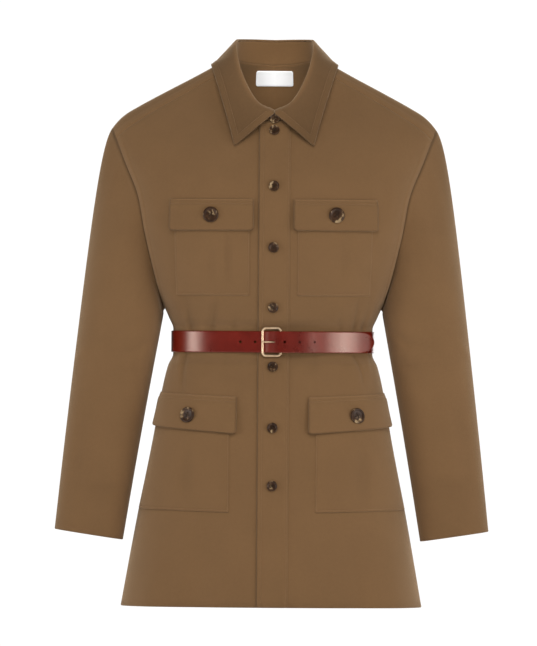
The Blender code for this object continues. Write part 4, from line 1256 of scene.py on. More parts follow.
@dataclass
class Collar:
    """Standing band with lapped ends, the leaf turned down over it, and the label below."""

    form: BodyForm
    cloth: Material
    thread: Material
    label: Material
    wall: float = 0.0018
    lap_end: float = -0.0207
    fold_line: tuple[Place, ...] = (
        (0.000, -0.0665, -0.0795), (0.0225, -0.0632, -0.068), (0.042, -0.0472, -0.0395),
        (0.0532, -0.025, -0.009), (0.0574, 0.002, 0.016), (0.0542, 0.028, 0.0235),
        (0.034, 0.048, 0.024), (0.000, 0.055, 0.0235),
    )
    leaf_edge: tuple[Place, ...] = (
        (0.056, -0.088, -0.126), (0.0635, -0.0765, -0.097), (0.0735, -0.058, -0.063),
        (0.084, -0.0335, -0.029), (0.0905, -0.003, -0.0095), (0.084, 0.042, -0.011),
        (0.052, 0.074, -0.018), (0.000, 0.084, -0.023),
    )
    leaf_start: float = 0.004
    leaf_bulge: float = 0.0022
    roll_rise: float = 0.001
    roll_out: float = 0.0006
    roll_drop: float = 0.0002
    front_out: float = 0.0034
    front_run: float = 0.16
    lap_start: float = 0.12
    lap_run: float = 0.26
    stand_rows: int = 12
    leaf_rows: int = 44
    leaf_columns: int = 90
    leaf_stops: Floats = (0.12, 0.25, 0.5, 0.75, 1.0)
    leaf_crowd: float = 1.5
    leaf_row_crowd: float = 0.85
    leaf_below: float = 0.2
    stitch_start: int = 6
    band: float = 0.0075
    band_soft: float = 0.002
    band_rise: float = 0.0006
    painted_band_highlight: float = 0.4
    painted_leaf_shade: float = -2.1
    roll_run: float = 0.012
    painted_front_shadow: float = -0.8
    label_width: float = 0.056
    label_gap: float = 0.0006
    label_wall: float = 0.0008
    label_top: float = -0.0162
    label_bottom: float = -0.0378
    label_corner: float = 0.0016
    label_step: float = 0.002
    label_reach: float = 0.1
    label_columns: int = 14

    def neck_half(self, inner: float) -> Array:
        """Half the neck seam on the panels' edges.

        Args:
            inner: where the front panel begins.
        Returns:
            Points from the front edge to the middle of the back.
        """
        form = self.form
        upper = form.front_lines(inner)[form.chest_rows * form.parts - 1:] + form.ridge_lines()[-2::-1]
        rear = form.back_lines()[len(form.back_rows) * form.parts - 1:]
        starts = [(Face.FRONT, line.start) for line in upper]
        starts += [(Face.BACK, line.start) for line in reversed(rear)]
        return np.array([form.spot(face, place) for face, place in starts])

    def neck_loop(self) -> tuple[Array, Array]:
        """Neck seam from the right front's edge round the back to the band's free edge.

        Returns:
            The points and their stations: 0 and 2 in the middle of the front, 1 in that of the back.
        """
        form = self.form
        right = mirrored(self.neck_half(-form.stand_edge), -1)
        left = self.neck_half(form.stand_edge)[::-1][1:]
        lap = []
        for x in np.linspace(form.stand_edge, self.lap_end, 2 * form.parts)[1:]:
            corner = form.spot(Face.FRONT, (abs(x), form.neckline(Face.FRONT, x)))
            lap.append(mirrored(corner, math.copysign(1, x)))
        loop = np.concatenate([right, left, np.array(lap)])
        run = lengths(loop)
        middle = run[len(right) - 1]
        first = form.parts + 1
        half = middle - np.interp(0.0, -loop[:first, 0], run[:first])
        return loop, 1 + (run - middle) / half

    def carried(self, places: Sequence, stations: Array) -> Array:
        """Carry a half curve round the neck.

        Args:
            places: points of the half curve.
            stations: where to read it.
        Returns:
            The points there.
        """
        points = spline(places, np.abs(np.where(stations <= 1, stations, 2 - stations)))
        left = (stations < 0) | ((stations > 1) & (stations <= 2))
        points[:, 0] *= np.where(left, 1.0, -1.0)
        return points

    def lap_lift(self, share: Array) -> Array:
        """How far a lapped end stands out, at a share of the way from the front to the back."""
        return (self.wall + LAY_GAP) * (1 - ease((share - self.lap_start) / self.lap_run))

    def build(self) -> None:
        """Make the stand, the leaf and the label."""
        seam, stations = self.neck_loop()
        top = self.carried(self.fold_line, stations)
        low = seam + unit(top - seam) * SEAM_GAP * 2
        grid = np.array([low + (top - low) * t for t in np.linspace(0, 1, self.stand_rows)])
        normal = outward(grid)
        grid = grid + normal * self.lap_lift(2 - stations)[None, :, None]
        front = 1 - ease(np.minimum(np.abs(stations), np.abs(2 - stations)) / self.front_run)
        # Painted shadow on the front of the stand, in the opening under the leaf's points.
        tone = np.broadcast_to(self.painted_front_shadow * front, grid.shape[:2])
        hang("collar_stand", Sheet(grid, grid - normal * self.wall, tone=tone), self.cloth)
        self.build_leaf(stations, low, normal[-1])
        self.build_label()

    def build_leaf(self, neck: Array, low: Array, out: Array) -> None:
        """Leaf of the collar, with a raised and stitched band along its edges.

        Args:
            neck: stations of the stand's columns.
            low: the stand's lower edge.
            out: outward normals along the stand's top.
        """
        half = np.linspace(0, 1, self.leaf_columns) ** self.leaf_crowd
        half = self.leaf_start + (1 - self.leaf_start) * half
        stations = np.concatenate([half, 2 - half[-2::-1]])
        low, out = read(neck, low, stations), unit(read(neck, out, stations))
        top, edge = self.carried(self.fold_line, stations), self.carried(self.leaf_edge, stations)
        up = unit(top - low)
        share = np.where(stations <= 1, stations, 2 - stations)[:, None]
        lap = self.lap_lift(share)
        over_button = self.front_out * (1 - ease(share / self.front_run))
        rise = LAY_GAP + self.wall + SEAM_GAP
        shoulder = top + out * (lap + rise + self.roll_out + over_button) + up * self.roll_drop
        roll = top + out * lap / 2 + up * (rise + self.roll_rise)
        rows = [top - out * self.wall + up * rise, roll, shoulder]
        for t in self.leaf_stops:
            rows.append(shoulder + (edge - shoulder) * t + out * self.leaf_bulge * math.sin(math.pi * t))
        frames = np.array(rows)
        shares = np.linspace(0, 1, self.leaf_rows) ** self.leaf_row_crowd
        grid = np.stack([spline(frames[:, column], shares) for column in range(len(stations))], axis=1)
        normal = outward(grid, self.leaf_below)
        across, down = edge_runs(grid)
        inset = np.minimum(np.minimum(across, across[:, -1:] - across), down[-1:] - down)
        band = ease((self.band + self.band_soft - inset) / self.band_soft)
        rolled = ease(1 - down / self.roll_run)
        # Painted highlight on the raised edge band and on the roll, and painted shade over the rest of the
        # leaf.
        sheet = Sheet(grid + normal * (band * self.band_rise)[:, :, None], grid - normal * self.wall,
                      tone=(self.painted_band_highlight * band + self.painted_leaf_shade) * (1 - rolled))
        hang("collar_leaf", sheet, self.cloth)
        self.stitch_leaf(sheet, across, down)

    def stitch_leaf(self, sheet: Sheet, across: Array, down: Array) -> None:
        """Row of stitches inside the leaf's edges.

        Args:
            sheet: the leaf.
            across: distance of each of its points along the row.
            down: distance of each along the column.
        """
        inset = self.band + self.band_soft / 2
        low = np.array([index_of(run, run[-1] - inset) for run in down.T])
        first = [index_of(run, inset) for run in across]
        last = [index_of(run, run[-1] - inset) for run in across]
        begin, end = int(math.ceil(first[-1])), int(math.floor(last[-1]))
        side = np.arange(self.stitch_start, int(low[begin]) + 1)
        path = np.concatenate([
            np.stack([side, np.take(first, side)], axis=1),
            np.stack([low[begin:end], np.arange(begin, end)], axis=1),
            np.stack([side, np.take(last, side)], axis=1)[::-1]])
        Stitch().sew("collar_leaf_stitches", [sheet.trace(path[:, 0], path[:, 1])], self.thread)

    def build_label(self) -> None:
        """Bare label on the inner face of the back, under the neck seam."""
        heights = ruler(self.label_bottom, self.label_top, self.label_step)
        edge = np.minimum(heights - self.label_bottom, self.label_top - heights)
        grid = []
        for z, trim in zip(heights, rounded(edge, self.label_corner)):
            row = self.form.row(Face.BACK, (0.0, z), (self.label_reach, z))
            half = along(row, np.linspace(0, self.label_width / 2 - trim, self.label_columns))
            grid.append(np.concatenate([mirrored(half[:0:-1], -1), half]))
        grid = np.array(grid)
        normal = outward(grid)
        far = grid - normal * (CLOTH + self.label_gap)
        sheet = Sheet(far - normal * self.label_wall, far)
        hang("neck_label", sheet, self.label, Slot.LABEL)


@dataclass
class Pockets:
    """Patch pockets with their flaps on the chest and hips."""

    form: BodyForm
    cloth: Material
    thread: Material
    wall: float = 0.0013
    chest_pocket: Patch = Patch(0.0335, 0.1435, -0.219, -0.339)
    chest_flap: Patch = Patch(0.029, 0.149, -0.2035, -0.247)
    hip_pocket: Patch = Patch(0.061, 0.19, -0.499, -0.648, 0.008, 0.0048, 0.046)
    hip_flap: Patch = Patch(0.0515, 0.203, -0.4855, -0.5375, 0.007, 0.0115)
    chest_button: Point = (0.5, 0.5)
    hip_button: Point = (0.457, 0.43)
    button_radius: float = 0.0112
    step: float = 0.0028
    flare: float = 0.003
    flap_step: float = 0.0016
    flap_seat: float = 0.25
    flap_clear: float = 0.3
    flap_points: int = 120
    flap_corner: float = 0.0045
    flap_rows: tuple[float, float] = (0.0014, 0.0064)
    painted_top_highlight: float = 0.8
    top_run: float = 0.003
    painted_edge_shadow: float = -1.5
    edge_line: float = 0.0016
    pocket_row: float = 0.002
    pocket_clear: float = 0.01
    pocket_points: int = 80
    groove: float = 0.0004
    groove_width: float = 0.0008
    side_sink: float = 0.0017
    bulge: float = 0.0012
    bulge_run: float = 0.03
    fold_run: float = 0.012
    under_gap: float = 0.0002
    folds: tuple[Crease, ...] = (
        Crease(5, ((-66, -247, -0.4), (-67, -290, -1.5), (-65, -330, -0.3)), 0.3),
        Crease(6, ((-88, -260, 0), (-90, -300, -0.8), (-88, -334, 0))),
        Crease(6, ((98, -250, -0.3), (100, -292, -1.1), (98, -332, 0)), 0.2),
        Crease(10, ((-120, -545, 0), (-124, -590, -1.4), (-126, -640, 0))),
        Crease(12, ((128, -540, 0), (132, -596, -1.6), (136, -644, 0))),
    )

    def build(self) -> list[Seat]:
        """Make each pocket, its flap and their stitches.

        Returns:
            Seats of the flap buttons.
        """
        seats, stitches = [], []
        rows = (("chest", self.chest_pocket, self.chest_flap, self.chest_button),
                ("hip", self.hip_pocket, self.hip_flap, self.hip_button))
        for place, pocket, flap, (button_across, button_up) in rows:
            for word, side in (("left", 1), ("right", -1)):
                stitches += self.build_pocket(f"{place}_pocket_{word}", pocket, side)
                sheet, sewn = self.build_flap(f"{place}_flap_{word}", flap, side)
                stitches += sewn
                height = flap.bottom + (flap.top - flap.bottom) * button_up
                height = self.slanted(flap, flap.inner + (flap.outer - flap.inner) * button_across, height)
                column = (sheet.outer.shape[1] - 1) * button_across
                row = index_of(sheet.outer[:, int(column), 2], height)
                point, normal = sheet.trace(np.array([row]), column)
                seat = point[0] + normal[0] * SEAM_GAP * 2
                seats.append(Seat(f"button_{place}_{word}", seat, normal[0], self.button_radius))
        Stitch().sew("pocket_stitches", stitches, self.thread)
        return seats

    def slanted(self, patch: Patch, across: Array, height: Array) -> Array:
        """Heights on a patch that rises towards its outer end.

        Args:
            patch: its outline.
            across: distance of each point from the middle.
            height: height of each point on a level patch.
        Returns:
            The height of each point.
        """
        share = (across - patch.inner) / (patch.outer - patch.inner)
        up = (height - patch.bottom) / (patch.top - patch.bottom)
        return height + share * (patch.bottom_rise + (patch.top_rise - patch.bottom_rise) * up)

    def build_pocket(self, name: str, patch: Patch, side: int) -> list[Run]:
        """One pocket, sewn down at its sides and foot.

        Args:
            name: solid that it stands for.
            patch: its outline.
            side: 1 for the wearer's left.
        Returns:
            Runs of its stitches.
        """
        sewn = patch.inner + self.pocket_row, patch.outer - self.pocket_row
        u = ruler(patch.inner, patch.outer, self.step, sewn)
        z = ruler(patch.bottom, patch.top, self.step, (patch.bottom + self.pocket_row,))
        heights = self.slanted(patch, u[None, :], z[:, None])
        reach = patch.foot_out * (patch.top - z) / (patch.top - patch.bottom)
        across = u + reach[:, None] * ease((u - patch.inner) / (patch.outer - patch.inner))
        base = self.form.lattice(side, across, heights)
        normal = outward(base)
        flank = np.minimum(u - patch.inner, patch.outer - u)[None, :]
        foot = (z - patch.bottom)[:, None]
        inset = np.minimum(flank, foot)
        lift = LAY_GAP + self.wall - self.groove * bell(inset - self.pocket_row, self.groove_width)
        lift = lift - self.side_sink * ease(1 - flank / self.pocket_row)
        lift = lift + self.bulge * ease(flank / self.bulge_run) * ease(foot / self.bulge_run)
        push = crease_push(self.folds, side * across, heights)
        push = np.maximum(push, -self.bulge) * ease(inset / self.fold_run)
        outer = base + normal * (lift + push)[:, :, None]
        # Painted shade in the folds' troughs and painted light on their ridges.
        sheet = Sheet(outer, base + normal * self.under_gap, tone=self.form.shade(push))
        hang(name, sheet, self.cloth)
        row = index_of(z, patch.bottom + self.pocket_row)
        ends = index_of(u, sewn)
        down = np.linspace(len(z) - 1 - self.pocket_clear, row, self.pocket_points)
        over = np.linspace(*ends, self.pocket_points)
        return [sheet.trace(down, ends[0]), sheet.trace(row, over), sheet.trace(down, ends[1])]

    def build_flap(self, name: str, patch: Patch, side: int) -> tuple[Sheet, list[Run]]:
        """One flap, sewn along its top and rounded at its lower corners.

        Args:
            name: solid that it stands for.
            patch: its outline.
            side: 1 for the wearer's left.
        Returns:
            The flap and the runs of its stitches.
        """
        lines = [patch.top - row for row in self.flap_rows]
        z = ruler(patch.bottom, patch.top, self.flap_step, lines)
        columns = math.ceil((patch.outer - patch.inner) / self.step)
        inset = rounded(z - patch.bottom, self.flap_corner)[:, None]
        u = patch.inner + inset + np.linspace(0, 1, columns) * (patch.outer - patch.inner - 2 * inset)
        base = self.form.lattice(side, u, self.slanted(patch, u, z[:, None]))
        normal = outward(base)
        drop = (patch.top - z) / (patch.top - patch.bottom)
        stack = LAY_GAP + self.wall
        lift = stack + stack * ease(drop / self.flap_seat) + self.flare * drop ** 2
        under = base + normal * (lift - self.wall)[:, None, None]
        for line in lines:
            lift = lift - self.groove * bell(z - line, self.groove_width)
        # Painted highlight along the sewn top and painted shadow along the free edges.
        tone = self.painted_top_highlight * ease(1 - (patch.top - z) / self.top_run)
        rim = np.minimum(np.minimum(u - u[:, :1], u[:, -1:] - u), (z - patch.bottom)[:, None])
        tone = tone[:, None] + self.painted_edge_shadow * ease(1 - rim / self.edge_line)
        sheet = Sheet(base + normal * lift[:, None, None], under, tone=tone)
        hang(name, sheet, self.cloth)
        places = np.linspace(self.flap_clear, columns - 1 - self.flap_clear, self.flap_points)
        return sheet, [sheet.trace(index_of(z, line), places) for line in lines]


@dataclass
class Buttons:
    """Turned buttons with four holes, and the thread that holds them."""

    form: BodyForm
    horn: Material
    thread: Material
    radius: float = 0.0075
    height: float = 0.0032
    heights: Floats = (-0.1055, -0.1845, -0.271, -0.356, -0.4425, -0.529, -0.611)
    stand_height: float = -0.0872
    steps: int = 48
    sharp: float = math.radians(50)
    hole_share: float = 0.24
    hole_radius: float = 0.0009
    bar_low: float = 0.45
    bar_rise: float = 0.3
    bar_points: int = 9
    bar_sides: int = 8
    profile: Points = (
        (0.4, 0.62), (0.58, 0.63), (0.68, 0.7), (0.76, 0.92), (0.82, 0.99), (0.88, 0.98),
        (0.95, 0.84), (1.0, 0.58), (0.98, 0.3), (0.92, 0.08), (0.86, 0.0),
    )

    def seats(self) -> list[Seat]:
        """Find where the front buttons sit.

        Returns:
            Seats of the buttons down the band and of the one on the collar stand.
        """
        seats = []
        for index, z in enumerate(self.heights):
            steps = (-self.radius, 0.0, self.radius)
            low, here, high = (self.form.spot(Face.FRONT, (0.0, z + step)) for step in steps)
            normal = unit(np.array([0.0, low[2] - high[2], high[1] - low[1]]))
            point = here + normal * (LAY_GAP + CLOTH + SEAM_GAP * 2)
            seats.append(Seat(f"button_{index + 1}", point, normal, self.radius))
        low = self.form.spot(Face.FRONT, (0.0, self.form.front_neck))
        rise = np.array(Collar.fold_line[0]) - low
        normal = unit(np.array([0.0, -rise[2], rise[1]]))
        point = low + rise * (self.stand_height - low[2]) / rise[2]
        point = point + normal * (Collar.wall + LAY_GAP + SEAM_GAP * 2)
        seats.append(Seat("button_stand", point, normal, self.radius))
        return seats

    def blank(self, radius: float) -> Mesh:
        """Button lying flat, with its holes cut.

        Args:
            radius: its outer radius.
        Returns:
            Its mesh.
        """
        turn = np.linspace(0, 2 * math.pi, self.steps, endpoint=False)
        rings = [(r * radius, h * self.height) for r, h in self.profile]
        points = np.array([[(r * math.cos(a), r * math.sin(a), h) for a in turn] for r, h in rings])
        disc = joined("button_blank", [(points.reshape(-1, 3), ring_faces(len(rings), self.steps, False))])
        holes = []
        for x, y in self.hole_places(radius):
            line = np.array([(x, y, -self.height), (x, y, self.height * 2)])
            holes.append(tube(line, self.hole_radius, (1.0, 0.0, 0.0)))
        return bored(disc, joined("button_holes", holes))

    def hole_places(self, radius: float) -> list[Point]:
        """Middles of the four holes."""
        reach = radius * self.hole_share
        return [(reach * x, reach * y) for x, y in ((-1, -1), (1, -1), (1, 1), (-1, 1))]

    def build(self, flap_seats: list[Seat]) -> None:
        """Set every button on its seat and sew it on.

        Args:
            flap_seats: seats of the buttons on the flaps.
        """
        blanks: dict[float, Mesh] = {}
        thread = []
        for seat in self.seats() + flap_seats:
            if seat.radius not in blanks:
                blanks[seat.radius] = self.blank(seat.radius)
            upright = Vector(UP).rotation_difference(Vector(seat.normal)).to_matrix().to_4x4()
            place = Matrix.Translation(Vector(seat.point)) @ upright
            mesh = blanks[seat.radius].copy()
            mesh.name = seat.name
            mesh.transform(place)
            piece = add_object(f"{seat.name}_horn", mesh, self.horn)
            mesh.set_sharp_from_angle(angle=self.sharp)
            deliver(piece, Slot.BUTTON, seat.name)
            a, b, c, d = self.hole_places(seat.radius)
            for start, end in ((a, c), (b, d)):
                thread.append(self.bar(place, np.array(start), np.array(end)))
        deliver(add_object("button_thread", joined("button_thread", thread), self.thread), Slot.CLOTH)

    def bar(self, place: Matrix, start: Array, end: Array) -> Block:
        """Thread from one hole of a button to another.

        Args:
            place: how the button is placed.
            start: the first hole, on the button lying flat.
            end: the other hole.
        Returns:
            Points and faces of the thread.
        """
        share = np.linspace(0, 1, self.bar_points)
        level = start + (end - start) * share[:, None]
        rise = self.height * (self.bar_low + self.bar_rise * np.sin(math.pi * share) ** 0.5)
        line = np.array([place @ Vector((x, y, z)) for (x, y), z in zip(level, rise)])
        return tube(line, self.hole_radius / 2, place.to_3x3() @ Vector(UP), self.bar_sides)


@dataclass
class Belt:
    """Strap with its holes, buckle frame and prong."""

    form: BodyForm
    leather: Material
    brass: Material
    centre: float = -0.406
    width: float = 0.0306
    wall: float = 0.0024
    edge_round: float = 0.001
    edge_share: float = 0.6
    edge_turns: Floats = (0, 30, 60, 90)
    face_points: int = 7
    face_trim: float = 1.6
    sharp: float = math.radians(48)
    probe: float = 0.002
    tail: float = 0.15
    tip: float = 0.027
    tip_power: float = 0.95
    hole_pitch: float = 0.0208
    hole_radius: float = 0.0019
    holes: tuple[int, ...] = (-2, -1, 1, 2, 3)
    prong_hole: float = -0.0043
    hole_sides: int = 24
    slot: Place = (-0.002, 0.00675, 0.0016)
    loop_gap: tuple[float, float, float, float] = (0.0122, 0.0126, 0.0088, 0.0032)
    frame_left: float = -0.0146
    frame_right: float = 0.0112
    frame_half: float = 0.0197
    frame_corner: float = 0.005
    frame_rod: float = 0.0016
    frame_points: int = 120
    frame_sides: int = 18
    corner_points: int = 10
    prong_rod: float = 0.0011
    prong_turns: Stops = (-150, 130, 24)
    prong_points: int = 70
    prong_fine: int = 2000
    prong_thin: float = 0.45
    prong_thin_from: float = 0.9
    fold_back: float = 0.046
    fold_end: float = 0.006
    fold_points: int = 10
    loop_turns: Stops = (-90, -270, 21)
    near_stops: Stops = (0.018, 0.1, 24)
    round_stops: Stops = (0.105, -0.06, 150)
    over_stops: Stops = (-0.055, 0.06, 60)
    tail_start: float = 0.064
    tail_points: int = 28
    tip_turns: Stops = (12, 87, 12)
    band_reach: float = 0.026
    band_ease: float = 0.045
    under_lift: Points = (
        (0.0112, 0.0061), (0.03, 0.0042), (0.048, 0.003), (0.064, 0.0016), (0.095, 0.0))
    over_lift: Points = (
        (-0.06, 0.0), (-0.024, 0.0001), (-0.0146, 0.0008), (-0.0043, 0.0046), (0.0112, 0.0089),
        (0.03, 0.0071), (0.048, 0.0058), (0.064, 0.0044), (0.095, 0.0028), (0.11, 0.003),
        (0.132, 0.0048), (0.15, 0.0082))
    prong_bar: Points = ((0.004, 0.0016), (-0.001, 0.0018))
    prong_rest: Points = ((-0.006, -0.0012), (-0.01, 0.0), (-0.0146, 0.0), (-0.0162, -0.0002))
    line: Array = field(init=False)
    length: float = field(init=False)

    def __post_init__(self) -> None:
        """Lay out the waist, measured from the middle of the front towards +X."""
        reach = self.form.half_width(self.centre)
        front = self.form.row(Face.FRONT, (0.0, self.centre), (reach, self.centre))
        back = self.form.row(Face.BACK, (0.0, self.centre), (reach, self.centre))
        half = np.concatenate([front, back[::-1][1:]])
        self.line = np.concatenate([half, mirrored(half[::-1], -1)[1:]])
        self.length = float(lengths(self.line)[-1])

    def at(self, distance: float, out: float, rise: float = 0.0) -> Array:
        """Point near the waist.

        Args:
            distance: distance along the waist.
            out: distance from the cloth.
            rise: height above the belt's middle.
        Returns:
            The point.
        """
        steps = distance + np.array([-self.probe, 0.0, self.probe])
        back, here, ahead = along(self.line, np.mod(steps, self.length))
        normal = unit(np.array([ahead[1] - back[1], back[0] - ahead[0], 0.0]))
        point = here + normal * out
        return np.array([point[0], point[1], self.centre + rise])

    def base(self, distance: float) -> float:
        """Distance of the belt's middle from the cloth, more where it lies on the band.

        Args:
            distance: distance along the waist.
        Returns:
            The distance from the cloth.
        """
        signed = (distance + self.length / 2) % self.length - self.length / 2
        band = (CLOTH + LAY_GAP) * (1 - ease((abs(signed) - self.band_reach) / self.band_ease))
        return float(SEAM_GAP + band + self.wall / 2)

    def lifted(self, table: Sequence[Point], distance: float) -> float:
        """Distance of the strap's middle from the cloth where a table lifts it."""
        return self.base(distance) + float(table_at(table, distance)[0])

    def loop(self) -> float:
        """Radius of the strap's middle where it folds round the buckle's bar."""
        return self.frame_rod + SEAM_GAP + self.wall / 2

    def bar_out(self) -> float:
        """Distance of the buckle's bar from the cloth."""
        return self.base(self.frame_right) + self.loop()

    def path(self) -> list[Place]:
        """Lay out the strap from its folded end to its tip.

        Returns:
            Distance along the waist, distance from the cloth and share of the width, at each stop.
        """
        loop, centre = self.loop(), self.bar_out()
        folded = np.linspace(self.fold_back, self.frame_right + self.fold_end, self.fold_points)
        path = [(d, self.base(d), 1.0) for d in folded]
        for turn in np.radians(np.linspace(*self.loop_turns)):
            path.append((self.frame_right + loop * math.cos(turn), centre + loop * math.sin(turn), 1.0))
        start, end, count = self.round_stops
        first = [np.linspace(*self.near_stops), np.linspace(start, self.length + end, count)]
        path += [(d, self.lifted(self.under_lift, d), 1.0) for d in np.concatenate(first)]
        tail = np.linspace(self.tail_start, self.tail - self.tip, self.tail_points)
        past = np.concatenate([np.linspace(*self.over_stops), tail])
        path += [(self.length + d, self.lifted(self.over_lift, d), 1.0) for d in past]
        for turn in np.radians(np.linspace(*self.tip_turns)):
            d = self.tail - self.tip * (1 - math.sin(turn))
            path.append((self.length + d, self.lifted(self.over_lift, d), math.cos(turn) ** self.tip_power))
        return path

    def section(self, share: float) -> Array:
        """Rounded section of the strap.

        Args:
            share: share of the full width.
        Returns:
            Its corners as (away from the cloth, height), anticlockwise.
        """
        half, wall = self.width / 2 * share, self.wall / 2
        r = min(self.edge_round, half * self.edge_share)
        flat = np.linspace(-1, 1, self.face_points) * (half - r * self.face_trim)
        turns = np.radians(self.edge_turns)
        points = []
        for way in (1, -1):
            points += [(wall * way, z * way) for z in flat]
            for face, row in ((way, turns), (-way, turns[::-1])):
                for turn in row:
                    out, up = wall - r * (1 - math.cos(turn)), half - r * (1 - math.sin(turn))
                    points.append((face * out, way * up))
        return np.array(points)

    def build(self) -> None:
        """Make the strap and the buckle."""
        path = self.path()
        middle = np.array([self.at(d, out) for d, out, _ in path])
        ahead = unit(np.gradient(middle, axis=0))
        away = np.stack([ahead[:, 1], -ahead[:, 0], np.zeros(len(path))], axis=1)
        sections = np.array([self.section(share) for _, _, share in path])
        points = middle[:, None] + away[:, None] * sections[:, :, :1]
        points[:, :, 2] += sections[:, :, 1]
        strap = joined("belt", [(points.reshape(-1, 3), ring_faces(len(path), points.shape[1], False))])
        piece = add_object("belt_strap", bored(strap, self.cutters()), self.leather)
        piece.data.set_sharp_from_angle(angle=self.sharp)
        deliver(piece, Slot.LEATHER, "belt")
        self.build_buckle()

    def cutters(self) -> Mesh:
        """Forms to be cut out of the strap.

        Returns:
            Mesh of the tail's holes, the prong's slot and the gap in the loop round the buckle's bar.
        """
        places = [self.prong_hole + self.hole_pitch * number for number in self.holes]
        shapes = [(place, self.hole_radius, self.hole_radius) for place in places]
        stem = np.array([(0.0, 0.0, -0.5), (0.0, 0.0, 0.5)])
        blocks = []
        for d, wide, tall in shapes + [self.slot]:
            near = (d - self.probe, d, d + self.probe)
            back, here, ahead = (self.lifted(self.over_lift, place) for place in near)
            slope = (ahead - back) / (2 * self.probe)
            middle = self.at(d, here)
            straight = unit(middle - self.at(d, 0.0))
            straight = unit(straight - unit(np.cross(UP, straight)) * slope)
            level = unit(np.cross(UP, straight))
            grid, faces = tube(stem, 1.0, (1.0, 0.0, 0.0), self.hole_sides)
            grid = grid * (wide, tall, self.wall + SEAM_GAP)
            blocks.append((middle + grid @ np.array([level, np.cross(straight, level), straight]), faces))
        at, *size = self.loop_gap
        square = ((-0.5, -0.5), (-0.5, 0.5), (0.5, 0.5), (0.5, -0.5))
        box = np.array([(x, y, z) for z in (-0.5, 0.5) for x, y in square])
        box = self.at(at, self.bar_out()) + box * size
        blocks.append((box, ring_faces(2, len(square), False)))
        return joined("belt_holes", blocks)

    def build_buckle(self) -> None:
        """Buckle frame round the strap and the prong through its hole."""
        left = self.lifted(self.over_lift, self.frame_left) + self.wall / 2 + SEAM_GAP + self.frame_rod
        right = self.bar_out()
        corners = (
            (self.frame_right, 1), (self.frame_left, 1), (self.frame_left, -1), (self.frame_right, -1))
        rod = []
        for index, (d, z) in enumerate(corners):
            inward = -1 if d == self.frame_right else 1
            for turn in np.radians(np.linspace(90 * index, 90 * index + 90, self.corner_points)):
                place = d + self.frame_corner * (inward + math.cos(turn))
                height = z * (self.frame_half - self.frame_corner) + self.frame_corner * math.sin(turn)
                share = (place - self.frame_left) / (self.frame_right - self.frame_left)
                rod.append(self.at(place, left + (right - left) * share, height))
        rod = np.array(rod + rod[:1])
        rod = along(rod, np.linspace(0, lengths(rod)[-1], self.frame_points, endpoint=False))
        self.cast("buckle_frame", tube(rod, self.frame_rod, (0.0, 1.0, 0.0), self.frame_sides, closed=True))
        ring = self.frame_rod + SEAM_GAP + self.prong_rod
        prong = [(self.frame_right + ring * math.cos(turn), right + ring * math.sin(turn))
                 for turn in np.radians(np.linspace(*self.prong_turns))]
        prong += [(d, right + lift) for d, lift in self.prong_bar]
        prong += [(d, left + ring + lift) for d, lift in self.prong_rest]
        share = np.linspace(0, 1, self.prong_points)
        line = spline([self.at(d, out) for d, out in prong], share, self.prong_fine)
        thin = self.prong_thin * ease((share - self.prong_thin_from) / (1 - self.prong_thin_from))
        self.cast("buckle_prong", tube(line, self.prong_rod * (1 - thin), UP))

    def cast(self, node: str, rod: Block) -> None:
        """Attach a brass rod to the coat's body."""
        deliver(add_object(f"{node}_brass", joined(node, [rod]), self.brass), Slot.BRASS, node)


@dataclass(frozen=True)
class Graph:
    """Short ways to add and join the nodes of one tree."""

    tree: NodeTree

    def feed(self, node: Node, inputs: dict) -> None:
        """Link sockets to a node's inputs or set values on them.

        Args:
            node: the node.
            inputs: sockets or values, by the input's name or number.
        """
        for key, value in inputs.items():
            if isinstance(value, NodeSocket):
                self.tree.links.new(value, node.inputs[key])
            else:
                node.inputs[key].default_value = value

    def put(self, kind: str, inputs: Optional[dict] = None, **settings: object) -> Node:
        """Add a node.

        Args:
            kind: the node's type.
            inputs: values or sockets for its inputs, by name or number.
            settings: its own settings.
        Returns:
            The node.
        """
        node = self.tree.nodes.new(kind)
        for name, value in settings.items():
            setattr(node, name, value)
        self.feed(node, inputs or {})
        return node

    def math(self, operation: str, first: Value, second: Value = 0.0) -> NodeSocket:
        """Result of a sum on two values."""
        return self.put("ShaderNodeMath", {0: first, 1: second}, operation=operation).outputs[0]

    def scaled(self, value: Value, factor: Value, start: Value) -> NodeSocket:
        """A start plus the value times a factor."""
        return self.math("ADD", self.math("MULTIPLY", value, factor), start)

    def mix(self, factor: Value, first: Value, second: Value) -> NodeSocket:
        """Mix of two colours.

        Args:
            factor: 0 for the first colour, 1 for the second.
            first: a colour.
            second: another colour.
        Returns:
            The mixed colour.
        """
        node = self.put("ShaderNodeMix", {"Factor": factor}, data_type="RGBA", clamp_factor=True)
        ends = [end if isinstance(end, NodeSocket) else (*end, 1.0) for end in (first, second)]
        self.feed(node, dict(zip(MIX_COLOURS, ends)))
        return node.outputs[MIX_RESULT]

    def swing(self, value: Value, low: Value, high: Value) -> NodeSocket:
        """Mix of two colours by a value that swings about 0."""
        return self.mix(self.math("ADD", value, 0.5), low, high)

    def bump(self, strength: float, depth: float, height: NodeSocket) -> NodeSocket:
        """Normal of a surface with small relief."""
        inputs = {"Strength": strength, "Distance": depth, "Height": height}
        return self.put("ShaderNodeBump", inputs).outputs[0]


